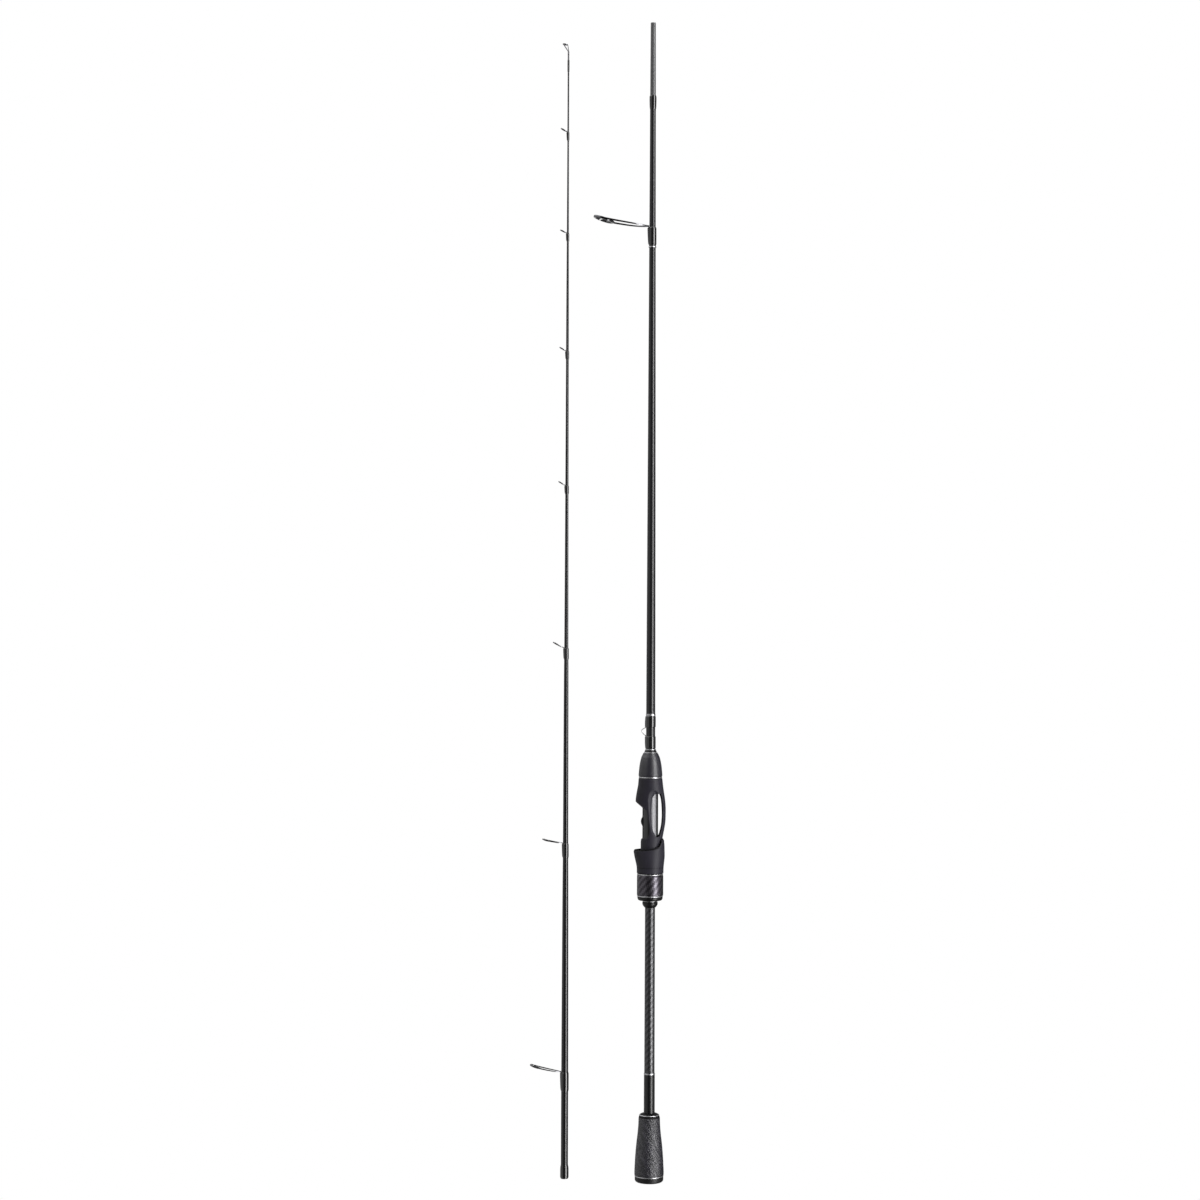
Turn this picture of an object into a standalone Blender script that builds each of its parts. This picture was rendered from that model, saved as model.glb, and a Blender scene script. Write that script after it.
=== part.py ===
"""A two-piece spinning rod, taken apart: the butt section and the tip section stand side by side.

Metres. +Z runs along both sections towards their tips, and the guides point towards -X. The origin is the
middle of the butt cap's flat end, on the butt section's axis. Outlines of turned pieces are (radius, height)
points that run down the outer side and, on a hollow piece, back up the bore.
"""

import math

import bmesh
import bpy
from mathutils import Vector

# ---------------------------------------------------------------- driving dimensions

BUTT_LENGTH = 1.1100  # from the butt cap's flat end to the top of the male ferrule
TIP_FOOT_Z = 0.0027  # lower end of the tip section as it stands beside the butt section
TIP_AXIS_X = -0.0811  # axis of the tip section; the butt section's axis is X = 0
FERRULE_Z = 1.0383  # the ground male ferrule starts here and runs to BUTT_LENGTH
FERRULE_OVERLAP = 0.0650  # how far the ferrule goes into the tip section's socket
SOCKET_TOP_Z = TIP_FOOT_Z + FERRULE_OVERLAP + 0.0070

GAP = 0.0003  # between pieces that touch
FINE_GAP = 0.0001  # the same, on pieces a few millimetres across

ROUND = 24  # sides of a large turned piece
SLIM = 16  # sides of a blank and of everything fitted to it
FINE = 12  # sides of the rings of the small guides
WALL = 0.0011  # wall of a blank

# (height, radius) down the outside of each blank, thick end first
BUTT_BLANK = (
    (0.0040, 0.00465), (0.2640, 0.00454), (0.4460, 0.00436), (0.6530, 0.00386),
    (0.9300, 0.00302), (1.0200, 0.00279), (FERRULE_Z, 0.00278), (FERRULE_Z + 0.0006, 0.00272),
    (BUTT_LENGTH, 0.00240),
)
TIP_BLANK = (
    (TIP_FOOT_Z, 0.00343), (0.1000, 0.00335), (0.2700, 0.00285), (0.3250, 0.00256), (0.4800, 0.00220),
    (0.5150, 0.00195), (0.6650, 0.00153), (0.8200, 0.00128), (0.9100, 0.00098), (1.0000, 0.00080),
    (1.0800, 0.00074),
)


def radius_at(blank, height):
    """Outer radius of a blank at a height, read straight between its stations."""
    for (z0, r0), (z1, r1) in zip(blank, blank[1:]):
        if height <= z1:
            return r0 + (r1 - r0) * (height - z0) / (z1 - z0)
    return blank[-1][1]


# ---------------------------------------------------------------- scene, collections, materials

for old in list(bpy.data.objects):
    bpy.data.objects.remove(old)

parts = bpy.data.collections.new("spinning_rod")
cutters = bpy.data.collections.new("spinning_rod_cutters")
bpy.context.scene.collection.children.link(parts)
bpy.context.scene.collection.children.link(cutters)


def finish(name, colour, roughness, metallic=0.0):
    material = bpy.data.materials.new(name)
    material.use_nodes = True
    shader = material.node_tree.nodes["Principled BSDF"]
    shader.inputs["Base Color"].default_value = (*colour, 1.0)
    shader.inputs["Roughness"].default_value = roughness
    shader.inputs["Metallic"].default_value = metallic
    return material


BLANK = finish("satin_graphite", (0.030, 0.031, 0.034), 0.38)
THREAD = finish("gloss_thread_epoxy", (0.012, 0.012, 0.014), 0.10)
SILVER = finish("bright_ring", (0.78, 0.78, 0.80), 0.20, 1.0)
FRAME = finish("dark_frame_metal", (0.16, 0.16, 0.17), 0.25, 1.0)
CERAMIC = finish("grey_ceramic", (0.20, 0.20, 0.21), 0.15)
SOFT = finish("soft_touch_seat", (0.045, 0.045, 0.050), 0.62)
BLACK = finish("black_plastic", (0.020, 0.020, 0.022), 0.35)
CARBON = finish("woven_carbon", (0.050, 0.050, 0.054), 0.28)
GRIP = finish("grip_skin", (0.040, 0.040, 0.043), 0.50)
PLATE = finish("satin_plate", (0.42, 0.42, 0.44), 0.35, 1.0)
RUBBER = finish("butt_rubber", (0.025, 0.025, 0.027), 0.60)
BUSH = finish("arbor_foam", (0.30, 0.30, 0.31), 0.80)


def body_empty(name, x=0.0):
    """The parent of the pieces that move together, on its joint's axis."""
    empty = bpy.data.objects.new(name, None)
    empty.location = (x, 0.0, 0.0)
    parts.objects.link(empty)
    return empty


BUTT = body_empty("butt_section")
HOOD = body_empty("hood_slide")
NUT = body_empty("nut_turn")
TIP = body_empty("tip_section", TIP_AXIS_X)


def place(obj, owner, material=None):
    """Put a piece among the parts, or with no material among the cutters, in its owner's frame."""
    (parts if material else cutters).objects.link(obj)
    obj.parent = owner
    if material:
        obj.data.materials.clear()
        obj.data.materials.append(material)
    else:
        obj.hide_render = True
        obj.display_type = "WIRE"
    return obj


# ---------------------------------------------------------------- shapes


def turned(name, owner, material, outline, sides=ROUND, hollow=True, at=(0.0, 0.0), tilt=0.0):
    """A turned piece about its own +Z, at (x, z) in its owner's frame and leaned by tilt about +Y."""
    count = len(outline)
    edges = [(i, i + 1) for i in range(count - 1)]
    if hollow:
        edges.append((count - 1, 0))
    mesh = bpy.data.meshes.new(name)
    mesh.from_pydata([(r, 0.0, z) for r, z in outline], edges, [])
    obj = place(bpy.data.objects.new(name, mesh), owner, material)
    obj.location = (at[0], 0.0, at[1])
    obj.rotation_euler = (0.0, tilt, 0.0)
    screw = obj.modifiers.new("turn", "SCREW")
    screw.axis = "Z"
    screw.angle = math.tau
    screw.steps = sides
    screw.render_steps = sides
    screw.use_merge_vertices = True
    screw.merge_threshold = 0.00001
    screw.use_smooth_shade = True
    return obj


def sleeve(outer, bore_top, bore_bottom=None):
    """Closed outline of a sleeve: the outer points, then its bore."""
    bore_bottom = bore_top if bore_bottom is None else bore_bottom
    return [*outer, (bore_bottom, outer[-1][1]), (bore_top, outer[0][1])]


def band(radius, bore, low, high):
    """Closed outline of a plain band."""
    return sleeve([(radius, high), (radius, low)], bore)


def loft(name, owner, material, rings):
    """A closed body through rings of equally many points, listed from top to bottom."""
    shape = bmesh.new()
    rows = [[shape.verts.new(point) for point in ring] for ring in rings]
    for upper, lower in zip(rows, rows[1:]):
        for i in range(len(upper)):
            j = (i + 1) % len(upper)
            shape.faces.new((upper[i], lower[i], lower[j], upper[j]))
    shape.faces.new(rows[0])
    shape.faces.new(reversed(rows[-1]))
    bmesh.ops.recalc_face_normals(shape, faces=shape.faces)
    mesh = bpy.data.meshes.new(name)
    shape.to_mesh(mesh)
    shape.free()
    mesh.shade_smooth()
    mesh.set_sharp_from_angle(angle=math.radians(40))
    return place(bpy.data.objects.new(name, mesh), owner, material)


def as_mesh(curve_obj, owner, material=None):
    """The mesh of a curve object, welded, in the curve's place; the curve is removed."""
    bpy.context.view_layer.update()
    source = curve_obj.evaluated_get(bpy.context.evaluated_depsgraph_get())
    mesh = bpy.data.meshes.new_from_object(source)
    shape = bmesh.new()
    shape.from_mesh(mesh)
    bmesh.ops.remove_doubles(shape, verts=shape.verts, dist=0.000001)
    bmesh.ops.transform(shape, matrix=curve_obj.matrix_world, verts=shape.verts)
    bmesh.ops.recalc_face_normals(shape, faces=shape.faces)
    shape.to_mesh(mesh)
    shape.free()
    name = curve_obj.name
    curve_obj.name = name + "_curve"
    obj = place(bpy.data.objects.new(name, mesh), owner, material)
    bpy.data.objects.remove(curve_obj)
    return obj


def prism(name, outline, half_width, owner, material=None):
    """A body with an (x, z) outline, reaching half_width to each side along Y; a cutter without a material."""
    curve = bpy.data.curves.new(name, "CURVE")
    curve.dimensions = "2D"
    curve.fill_mode = "BOTH"
    curve.extrude = half_width
    spline = curve.splines.new("POLY")
    spline.points.add(len(outline) - 1)
    for point, (x, z) in zip(spline.points, outline):
        point.co = (x, z, 0.0, 1.0)
    spline.use_cyclic_u = True
    obj = bpy.data.objects.new(name, curve)
    obj.rotation_euler = (math.pi / 2, 0.0, 0.0)
    cutters.objects.link(obj)
    return as_mesh(obj, owner, material)


def wire(name, owner, material, points, radius):
    """A round wire through (x, z) points in the XZ plane."""
    curve = bpy.data.curves.new(name, "CURVE")
    curve.dimensions = "3D"
    curve.bevel_depth = radius
    curve.bevel_resolution = 2
    curve.use_fill_caps = True
    spline = curve.splines.new("POLY")
    spline.points.add(len(points) - 1)
    for point, (x, z) in zip(spline.points, points):
        point.co = (x, 0.0, z, 1.0)
    obj = bpy.data.objects.new(name, curve)
    cutters.objects.link(obj)
    return as_mesh(obj, owner, material)


def combine(obj, other, operation):
    modifier = obj.modifiers.new(other.name, "BOOLEAN")
    modifier.operation = operation
    modifier.solver = "EXACT"
    modifier.object = other
    return obj


def slab_ring(x0, x1, half_y, z):
    return [(x0, -half_y, z), (x1, -half_y, z), (x1, half_y, z), (x0, half_y, z)]


def blank_body(name, owner, blank):
    """A tapered blank with an even wall, hollow from end to end."""
    outer = [(r, z) for z, r in reversed(blank)]
    inner = [(max(r - WALL, 0.00030), z) for z, r in blank]
    return turned(name, owner, BLANK, [*outer, *inner], SLIM)


def wrap(name, owner, blank, low, high, thread, foot_depth, foot_width, foot_low, sides=SLIM):
    """Thread and epoxy over a guide foot or wire: a rounded sleeve whose -X side stands out over the foot."""
    radius = radius_at(blank, low)
    outer = radius + thread + foot_depth / 2
    soft = min(0.0012, (high - low) / 5)
    lead = min(0.0006, thread)
    outline = [
        (0.0, high), (outer - lead, high), (outer, high - soft), (outer, low + 2 * soft),
        (outer - 0.8 * lead, low + 0.4 * soft), (outer - 1.2 * lead, low), (0.0, low),
    ]
    obj = turned(name, owner, THREAD, outline, sides, hollow=False, at=(-foot_depth / 2, 0.0))
    reach = 0.002
    fit = FINE_GAP / 2
    half_slot = foot_width / 2 + fit
    bore = [
        (0.0, high + reach), (radius + fit, high + reach), (radius + fit, low - reach), (0.0, low - reach),
    ]
    combine(obj, turned(name + "_bore", owner, None, bore, sides, hollow=False), "DIFFERENCE")
    x0 = -(radius + foot_depth + FINE_GAP)
    slot = [
        slab_ring(x0, -radius / 2, half_slot, high + reach),
        slab_ring(x0, -radius / 2, half_slot, foot_low - 2 * FINE_GAP),
    ]
    return combine(obj, loft(name + "_slot", owner, None, slot), "DIFFERENCE")


# ---------------------------------------------------------------- line guides


def guide_sizes(ring_radius):
    """Section sizes of a guide, which grow with its ring."""
    return {
        "band": 0.00025 + 0.065 * ring_radius,
        "height": 0.00060 + 0.140 * ring_radius,
        "foot": 0.00040 + 0.070 * ring_radius,
        "insert": 0.00035 + 0.090 * ring_radius,
        "thread": 0.00022 + 0.042 * ring_radius,
    }


def bezier(start, middle, end, steps):
    points = []
    for i in range(steps + 1):
        t = i / steps
        points.append(start * (1 - t) ** 2 + middle * 2 * t * (1 - t) + end * t * t)
    return points


def strip(name, owner, path, height, thickness):
    """A flat strip on edge along a path, as the leg of a pressed frame."""
    rings = []
    for i, point in enumerate(path):
        ahead = path[min(i + 1, len(path) - 1)] - path[max(i - 1, 0)]
        side = Vector((-ahead.y, ahead.x, 0.0)).normalized() * thickness / 2
        up = Vector((0.0, 0.0, height / 2))
        rings.append([point - side - up, point + side - up, point + side + up, point - side + up])
    return loft(name, owner, None, rings)


def guide(name, owner, blank, ring_x, ring_z, ring_radius, tilt, base_z, foot_length, wrap_low, sides):
    """A single-foot guide: a pressed frame, a ceramic ring held in it, and the wrap over its foot."""
    size = guide_sizes(ring_radius)
    foot_low = base_z - foot_length
    foot_x = -(radius_at(blank, foot_low) + FINE_GAP / 2)
    foot_width = 2.0 * size["foot"]

    foot = [
        slab_ring(foot_x - size["foot"], foot_x, foot_width / 2, base_z + size["height"] * 0.6),
        slab_ring(foot_x - size["foot"], foot_x, foot_width / 2, base_z - foot_length / 3),
        slab_ring(foot_x - size["foot"] * 0.4, foot_x, foot_width / 4, foot_low),
    ]
    frame = loft(name + "_frame", owner, FRAME, foot)

    holder = band(ring_radius, ring_radius - size["band"], -size["height"] / 2, size["height"] / 2)
    seat = turned(name + "_holder", owner, None, holder, sides, at=(ring_x, ring_z), tilt=tilt)
    combine(frame, seat, "UNION")

    middle = ring_radius - size["band"] / 2
    inward = Vector((math.cos(tilt), 0.0, -math.sin(tilt)))
    centre = Vector((ring_x, 0.0, ring_z))
    reach = -ring_x + foot_x
    tangent = math.acos(min(0.95, middle / reach))
    for side, label in ((-1, "near"), (1, "far")):
        across = Vector((0.0, side, 0.0))
        start = centre + inward * middle * math.cos(tangent) + across * middle * math.sin(tangent)
        end = Vector((foot_x - size["foot"] / 2, side * (foot_width - size["band"]) / 4, base_z))
        bend = start.lerp(end, 0.55)
        bend.z = end.z + 0.30 * (start.z - end.z)
        path = bezier(start, bend, end, 4)
        leg = strip(f"{name}_leg_{label}", owner, path, size["height"], size["band"] * 0.9)
        combine(frame, leg, "UNION")

    insert_radius = ring_radius - size["band"] - FINE_GAP
    hole = insert_radius - size["insert"]
    half = size["height"] * 0.62
    outline = [
        (insert_radius, half * 0.7), (insert_radius, -half * 0.7), (hole + size["insert"] * 0.5, -half),
        (hole, -half * 0.35), (hole, half * 0.35), (hole + size["insert"] * 0.5, half),
    ]
    turned(name + "_ring", owner, CERAMIC, outline, sides, at=(ring_x, ring_z), tilt=tilt)

    wrap_high = base_z - size["height"] / 2 - FINE_GAP
    wrap(name + "_wrap", owner, blank, wrap_low, wrap_high, size["thread"], size["foot"], foot_width, foot_low)


# name, ring centre (x, z), ring radius, ring tilt, leg base, foot length, lower end of the wrap
TIP_GUIDES = (
    ("guide_1", -0.0287, 0.1099, 0.00485, 20.0, 0.1050, 0.0150, 0.0860),
    ("guide_2", -0.0190, 0.3267, 0.00345, 18.0, 0.3240, 0.0115, 0.3095),
    ("guide_3", -0.0099, 0.5148, 0.00330, 29.0, 0.5112, 0.0090, 0.4995),
    ("guide_4", -0.0060, 0.6691, 0.00258, 31.0, 0.6668, 0.0072, 0.6580),
    ("guide_5", -0.0056, 0.7978, 0.00235, 29.0, 0.7956, 0.0070, 0.7870),
    ("guide_6", -0.0054, 0.9104, 0.00220, 24.0, 0.9086, 0.0070, 0.9000),
    ("guide_7", -0.0052, 1.0076, 0.00220, 27.0, 1.0056, 0.0068, 0.9965),
)

STRIPPER_BASE_Z = 0.9152
guide(
    "stripper", BUTT, BUTT_BLANK, -0.0466, 0.9216, 0.0103, math.radians(17.6), STRIPPER_BASE_Z, 0.0175,
    0.8962, ROUND,
)
for name, x, z, radius, tilt, base_z, foot_length, wrap_low in TIP_GUIDES:
    sides = SLIM if radius > 0.0034 else FINE
    guide(name, TIP, TIP_BLANK, x, z, radius, math.radians(tilt), base_z, foot_length, wrap_low, sides)


# ---------------------------------------------------------------- tip section


def tip_section():
    socket = [(radius_at(TIP_BLANK, SOCKET_TOP_Z), SOCKET_TOP_Z), (TIP_BLANK[0][1], TIP_FOOT_Z)]
    turned("tip_socket", TIP, BLANK, sleeve(socket, 0.00252, 0.00283), SLIM)
    start = SOCKET_TOP_Z + FINE_GAP
    upper = [(start, radius_at(TIP_BLANK, start)), *(point for point in TIP_BLANK if point[0] > start)]
    blank_body("tip_blank", TIP, upper)

    blank_r = radius_at(TIP_BLANK, TIP_FOOT_Z) + FINE_GAP
    outer = [
        (0.00350, 0.0158), (0.00378, 0.0146), (0.00402, 0.0125), (0.00406, 0.0046), (0.00385, 0.0034),
    ]
    turned("socket_wrap", TIP, THREAD, sleeve(outer, blank_r), SLIM)

    top_z = 1.0890
    ring_r = 0.00245
    size = guide_sizes(ring_r)
    tube_high = 1.0826
    tube_low = 1.0747
    tube = [(0.0, tube_high), (0.00085, tube_high), (0.00102, tube_high - 0.0004), (0.00102, tube_low)]
    tube += [(0.00082, tube_low), (0.00082, 1.0806), (0.0, 1.0806)]
    frame = turned("tip_top_frame", TIP, FRAME, tube, 16, hollow=False)
    tilt = math.radians(10.0)
    x = -0.00315
    holder = band(ring_r, ring_r - size["band"], -size["height"] / 2, size["height"] / 2)
    combine(frame, turned("tip_top_holder", TIP, None, holder, SLIM, at=(x, top_z), tilt=tilt), "UNION")
    legs = (
        ("left", Vector((x - 0.0013, -0.0019, top_z - 0.0001)), Vector((-0.00025, -0.0002, 1.0822))),
        ("right", Vector((x - 0.0013, 0.0019, top_z - 0.0001)), Vector((-0.00025, 0.0002, 1.0822))),
        ("heel", Vector((x + 0.0024, 0.0, top_z - 0.0004)), Vector((0.0002, 0.0, 1.0822))),
    )
    for label, start, end in legs:
        path = [start, start.lerp(end, 0.5), end]
        combine(frame, tip_top_leg(f"tip_top_leg_{label}", path, 0.00028), "UNION")

    insert_r = ring_r - size["band"] - FINE_GAP
    hole = insert_r - size["insert"]
    half = size["height"] * 0.6
    outline = [
        (insert_r, half * 0.7), (insert_r, -half * 0.7), (hole + size["insert"] * 0.5, -half),
        (hole, 0.0), (hole + size["insert"] * 0.5, half),
    ]
    turned("tip_top_ring", TIP, CERAMIC, outline, SLIM, at=(x, top_z), tilt=tilt)

    wrap_outer = [(0.00088, 1.0742), (0.00098, 1.0735), (0.00098, 1.0640), (0.00090, 1.0627)]
    turned("tip_top_wrap", TIP, THREAD, sleeve(wrap_outer, radius_at(TIP_BLANK, 1.062) + 0.00005), SLIM)


def tip_top_leg(name, path, radius):
    """A square-section leg from the tip-top's ring down to its tube."""
    rings = []
    for point in path:
        corners = ((-1, -1), (1, -1), (1, 1), (-1, 1))
        rings.append([point + Vector((a * radius, b * radius, 0.0)) for a, b in corners])
    return loft(name, TIP, None, rings)


tip_section()


# ---------------------------------------------------------------- butt section: blank and its trim


def butt_blank():
    blank_body("butt_blank", BUTT, BUTT_BLANK)

    outer = [(0.00296, 1.0377), (0.00334, 1.0366), (0.00335, 1.0345), (0.00318, 1.0290), (0.00293, 1.0271)]
    turned("ferrule_wrap", BUTT, THREAD, sleeve(outer, 0.00278 + FINE_GAP), SLIM)

    radius = radius_at(BUTT_BLANK, 0.8946) + FINE_GAP
    turned("stripper_trim", BUTT, SILVER, band(radius + 0.0005, radius, 0.8946, 0.8958), SLIM)

    radius = radius_at(BUTT_BLANK, 0.4462) + FINE_GAP
    turned("keeper_trim", BUTT, SILVER, band(0.00462, radius, 0.4462, 0.4480), SLIM)


def hook_keeper():
    """A wire loop for a lure's hook, with both its feet under wraps."""
    wire_r = 0.00032
    foot_x = -(radius_at(BUTT_BLANK, 0.4150) + FINE_GAP + wire_r)
    loop = [
        (foot_x, 0.4425), (foot_x, 0.4345), (-0.00545, 0.4338), (-0.0070, 0.4329), (-0.0083, 0.4318),
        (-0.0086, 0.4308), (-0.0082, 0.4297), (-0.0070, 0.4283), (-0.00545, 0.4272), (foot_x, 0.4263),
        (foot_x, 0.4185),
    ]
    wire("keeper_wire", BUTT, SILVER, loop, wire_r)
    depth = 2 * wire_r + FINE_GAP
    width = 2 * wire_r
    wrap("keeper_front_wrap", BUTT, BUTT_BLANK, 0.4346, 0.4458, 0.00045, depth, width, 0.4300)
    wrap("keeper_rear_wrap", BUTT, BUTT_BLANK, 0.4146, 0.4261, 0.00045, depth, width, 0.4180)


def fore_end():
    """Winding check, its ring, the foregrip cone and the ring between the foregrip and the reel seat."""
    bore = radius_at(BUTT_BLANK, 0.3866) + FINE_GAP
    check = [(0.0050, 0.4143), (0.00530, 0.4134), (0.00570, 0.4124), (0.00590, 0.4117)]
    turned("winding_check", BUTT, BLACK, sleeve(check, bore), ROUND)
    ring = [(0.00600, 0.4114), (0.00660, 0.4109), (0.00675, 0.4106)]
    turned("check_ring", BUTT, SILVER, sleeve(ring, bore), ROUND)
    grip = [
        (0.0071, 0.4103), (0.0088, 0.4065), (0.0097, 0.4026), (0.0105, 0.3988), (0.0113, 0.3912),
        (0.0114, 0.3884), (0.0112, 0.3882),
    ]
    turned("foregrip", BUTT, RUBBER, sleeve(grip, bore), ROUND)
    turned("foregrip_ring", BUTT, SILVER, band(0.01118, bore, 0.3867, 0.3879), ROUND)


butt_blank()
hook_keeper()
fore_end()


# ---------------------------------------------------------------- reel seat

CORE_R = 0.00745  # the tube that the reel's foot lies on
CORE_BORE = 0.00590
SEAT_TOP = 0.3864
SEAT_END = 0.2738
BARREL_R = 0.0092  # rear barrel, with the lock nut's thread
BED_X = -0.00745  # flat face that the reel's foot rests on
BED_HALF_WIDTH = 0.0027
PLATE_INNER_R = CORE_R + FINE_GAP
PLATE_OUTER_R = CORE_R + GAP

# height, reach towards -X, reach towards +X, half width along Y
SEAT_SECTIONS = (
    (SEAT_TOP, 0.0114, 0.0114, 0.0114), (0.3797, 0.0119, 0.0121, 0.0114), (0.3739, 0.0130, 0.0129, 0.0113),
    (0.3682, 0.0139, 0.0138, 0.0110), (0.3640, 0.0142, 0.0143, 0.0107), (0.3586, 0.0142, 0.0147, 0.0104),
    (0.3528, 0.0138, 0.01475, 0.0101), (0.3452, 0.0128, 0.0145, 0.0098), (0.3394, 0.0115, 0.0137, 0.0096),
    (0.3337, 0.0100, 0.0126, 0.0094), (0.3289, 0.0092, 0.0117, 0.0093), (0.3250, 0.0092, 0.0107, 0.0092),
    (0.3205, 0.0092, 0.0097, 0.0092), (0.3164, 0.0092, 0.0092, 0.0092), (0.2746, 0.0092, 0.0092, 0.0092),
    (SEAT_END, 0.0087, 0.0087, 0.0087),
)
HOOD_SECTIONS = (
    (0.3300, 0.0160, 0.0127, 0.0112), (0.3262, 0.0160, 0.0133, 0.0114), (0.3222, 0.0160, 0.0137, 0.0116),
    (0.3180, 0.0160, 0.0138, 0.0119), (0.3155, 0.0158, 0.0139, 0.0121), (0.3110, 0.0150, 0.0139, 0.0124),
    (0.3059, 0.0138, 0.0134, 0.0127), (0.3012, 0.0129, 0.0129, 0.0128), (0.2962, 0.0128, 0.0128, 0.0128),
    (0.2955, 0.0125, 0.0125, 0.0125),
)


def egg(height, rear, front, half_width, points=ROUND):
    """A section whose -X and +X halves are half ellipses of different lengths."""
    ring = []
    for i in range(points):
        angle = math.tau * i / points
        reach = front if math.cos(angle) > 0 else rear
        ring.append((reach * math.cos(angle), half_width * math.sin(angle), height))
    return ring


def foot_pocket(name, owner, floor_x, stations):
    """The space under a hood for one end of a reel's foot: an arched pocket with a flat floor at floor_x."""
    rings = []
    for height, reach, half_width in stations:
        end = math.acos(floor_x / reach)
        ring = []
        for i in range(13):
            angle = -end + 2 * end * i / 12
            ring.append((-reach * math.cos(angle), half_width * math.sin(angle), height))
        rings.append(ring)
    return loft(name, owner, None, rings)


def reel_seat():
    shell = loft("seat_shell", BUTT, SOFT, [egg(*section) for section in SEAT_SECTIONS])
    reach = 0.02
    # the leaf-shaped window that goes right through between the side straps and the bow
    window = [
        (0.0068, 0.3720), (0.0045, 0.3715), (0.0025, 0.3693), (0.0014, 0.3654), (0.0011, 0.3597),
        (0.0010, 0.3527), (0.0012, 0.3459), (0.0020, 0.3385), (0.0035, 0.3342), (0.0060, 0.3305),
        (0.0074, 0.3315), (0.0090, 0.3352), (0.0105, 0.3407), (0.0113, 0.3477), (0.0114, 0.3547),
        (0.0109, 0.3627), (0.0099, 0.3682), (0.0085, 0.3713),
    ]
    combine(shell, prism("seat_window", window, reach, BUTT), "DIFFERENCE")

    # the side that the reel's foot goes in from, between the fixed hood and the rear barrel
    bed = [
        (-reach, 0.3640), (-0.0142, 0.3640), (-0.0120, 0.3622), (-0.0095, 0.3602), (-0.0072, 0.3583),
        (-0.0046, 0.3568), (-0.0030, 0.3530), (-0.0018, 0.3450), (-0.0010, 0.3370), (-0.0018, 0.3315),
        (-0.0045, 0.3290), (-0.0085, 0.3282), (-0.0093, 0.3240), (-reach, 0.3240),
    ]
    combine(shell, prism("seat_bed", bed, reach, BUTT), "DIFFERENCE")

    pocket = ((0.3770, 0.0109, 0.0090), (0.3700, 0.0123, 0.0092), (0.3560, 0.0129, 0.0092))
    combine(shell, foot_pocket("seat_pocket", BUTT, 0.0072, pocket), "DIFFERENCE")

    bore_r = PLATE_OUTER_R + 2 * FINE_GAP
    bore = [(0.0, 0.40), (bore_r, 0.40), (bore_r, 0.26), (0.0, 0.26)]
    combine(shell, turned("seat_bore", BUTT, None, bore, ROUND, hollow=False), "DIFFERENCE")

    core = turned(
        "seat_core", BUTT, BLACK, band(CORE_R, CORE_BORE, SEAT_END, SEAT_TOP - GAP), ROUND
    )
    recess = [(-0.02, 0.3755), (-0.0066, 0.3755), (-0.0066, 0.3285), (-0.02, 0.3285)]
    combine(core, prism("pad_recess", recess, BED_HALF_WIDTH + GAP, BUTT), "DIFFERENCE")

    # the pad under the reel's foot, with a low nub in its middle
    pad = [
        (BED_X, 0.3752), (-0.0069, 0.3752), (-0.0069, 0.3288), (BED_X, 0.3288), (BED_X, 0.3412),
        (-0.0086, 0.3428), (-0.0092, 0.3448), (-0.0088, 0.3468), (BED_X, 0.3490),
    ]
    prism("foot_pad", pad, BED_HALF_WIDTH, BUTT, RUBBER)

    arbor_r = radius_at(BUTT_BLANK, 0.28) + FINE_GAP
    turned("seat_arbor", BUTT, BUSH, band(CORE_BORE - FINE_GAP, arbor_r, 0.2800, 0.3800), SLIM)


def seat_plates():
    """A thin plain plate on each side of the core, seen through the window."""
    first, last, steps = math.radians(12), math.radians(55), 6
    for side, label in ((-1, "left"), (1, "right")):
        rings = []
        for height in (0.3720, 0.3300):
            arc = [first + (last - first) * i / steps for i in range(steps + 1)]
            ring = [(PLATE_OUTER_R, angle) for angle in arc]
            ring += [(PLATE_INNER_R, angle) for angle in reversed(arc)]
            rings.append([(r * math.sin(angle), side * r * math.cos(angle), height) for r, angle in ring])
        loft(f"seat_plate_{label}", BUTT, PLATE, rings)


def sliding_hood():
    hood = loft("sliding_hood", HOOD, SOFT, [egg(*section) for section in HOOD_SECTIONS])
    bore_r = BARREL_R + 0.0004
    bore = [(0.0, 0.34), (bore_r, 0.34), (bore_r, 0.28), (0.0, 0.28)]
    combine(hood, turned("hood_bore", HOOD, None, bore, ROUND, hollow=False), "DIFFERENCE")

    # room for the bow's root, which widens towards the top on the +X side
    room = [
        egg(0.3340, 0.0094, 0.0129, 0.0098), egg(0.3289, 0.0094, 0.0120, 0.0097),
        egg(0.3250, 0.0094, 0.0110, 0.0094), egg(0.3205, 0.0094, 0.0100, 0.0094),
        egg(0.3150, 0.0094, 0.0095, 0.0094),
    ]
    combine(hood, loft("hood_room", HOOD, None, room), "DIFFERENCE")

    # the top edge: level at the lip, then swept up to a point on the bow's side
    lip_z = 0.3181
    sweep = (
        (-0.0300, 0.0000), (-0.0120, 0.0000), (-0.0040, 0.0006), (0.0011, 0.0013), (0.0051, 0.0023),
        (0.0079, 0.0034), (0.0095, 0.0055), (0.0109, 0.0091), (0.0116, 0.0106), (0.0300, 0.0107),
    )
    edge = [(x, lip_z + rise) for x, rise in sweep] + [(0.03, 0.35), (-0.03, 0.35)]
    combine(hood, prism("hood_edge", edge, 0.02, HOOD), "DIFFERENCE")

    pocket = (
        (0.3400, 0.0146, 0.0098), (0.3180, 0.0143, 0.0098), (0.3110, 0.0133, 0.0102),
        (0.3060, 0.0116, 0.0100),
    )
    combine(hood, foot_pocket("hood_pocket", HOOD, 0.0088, pocket), "DIFFERENCE")


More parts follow.
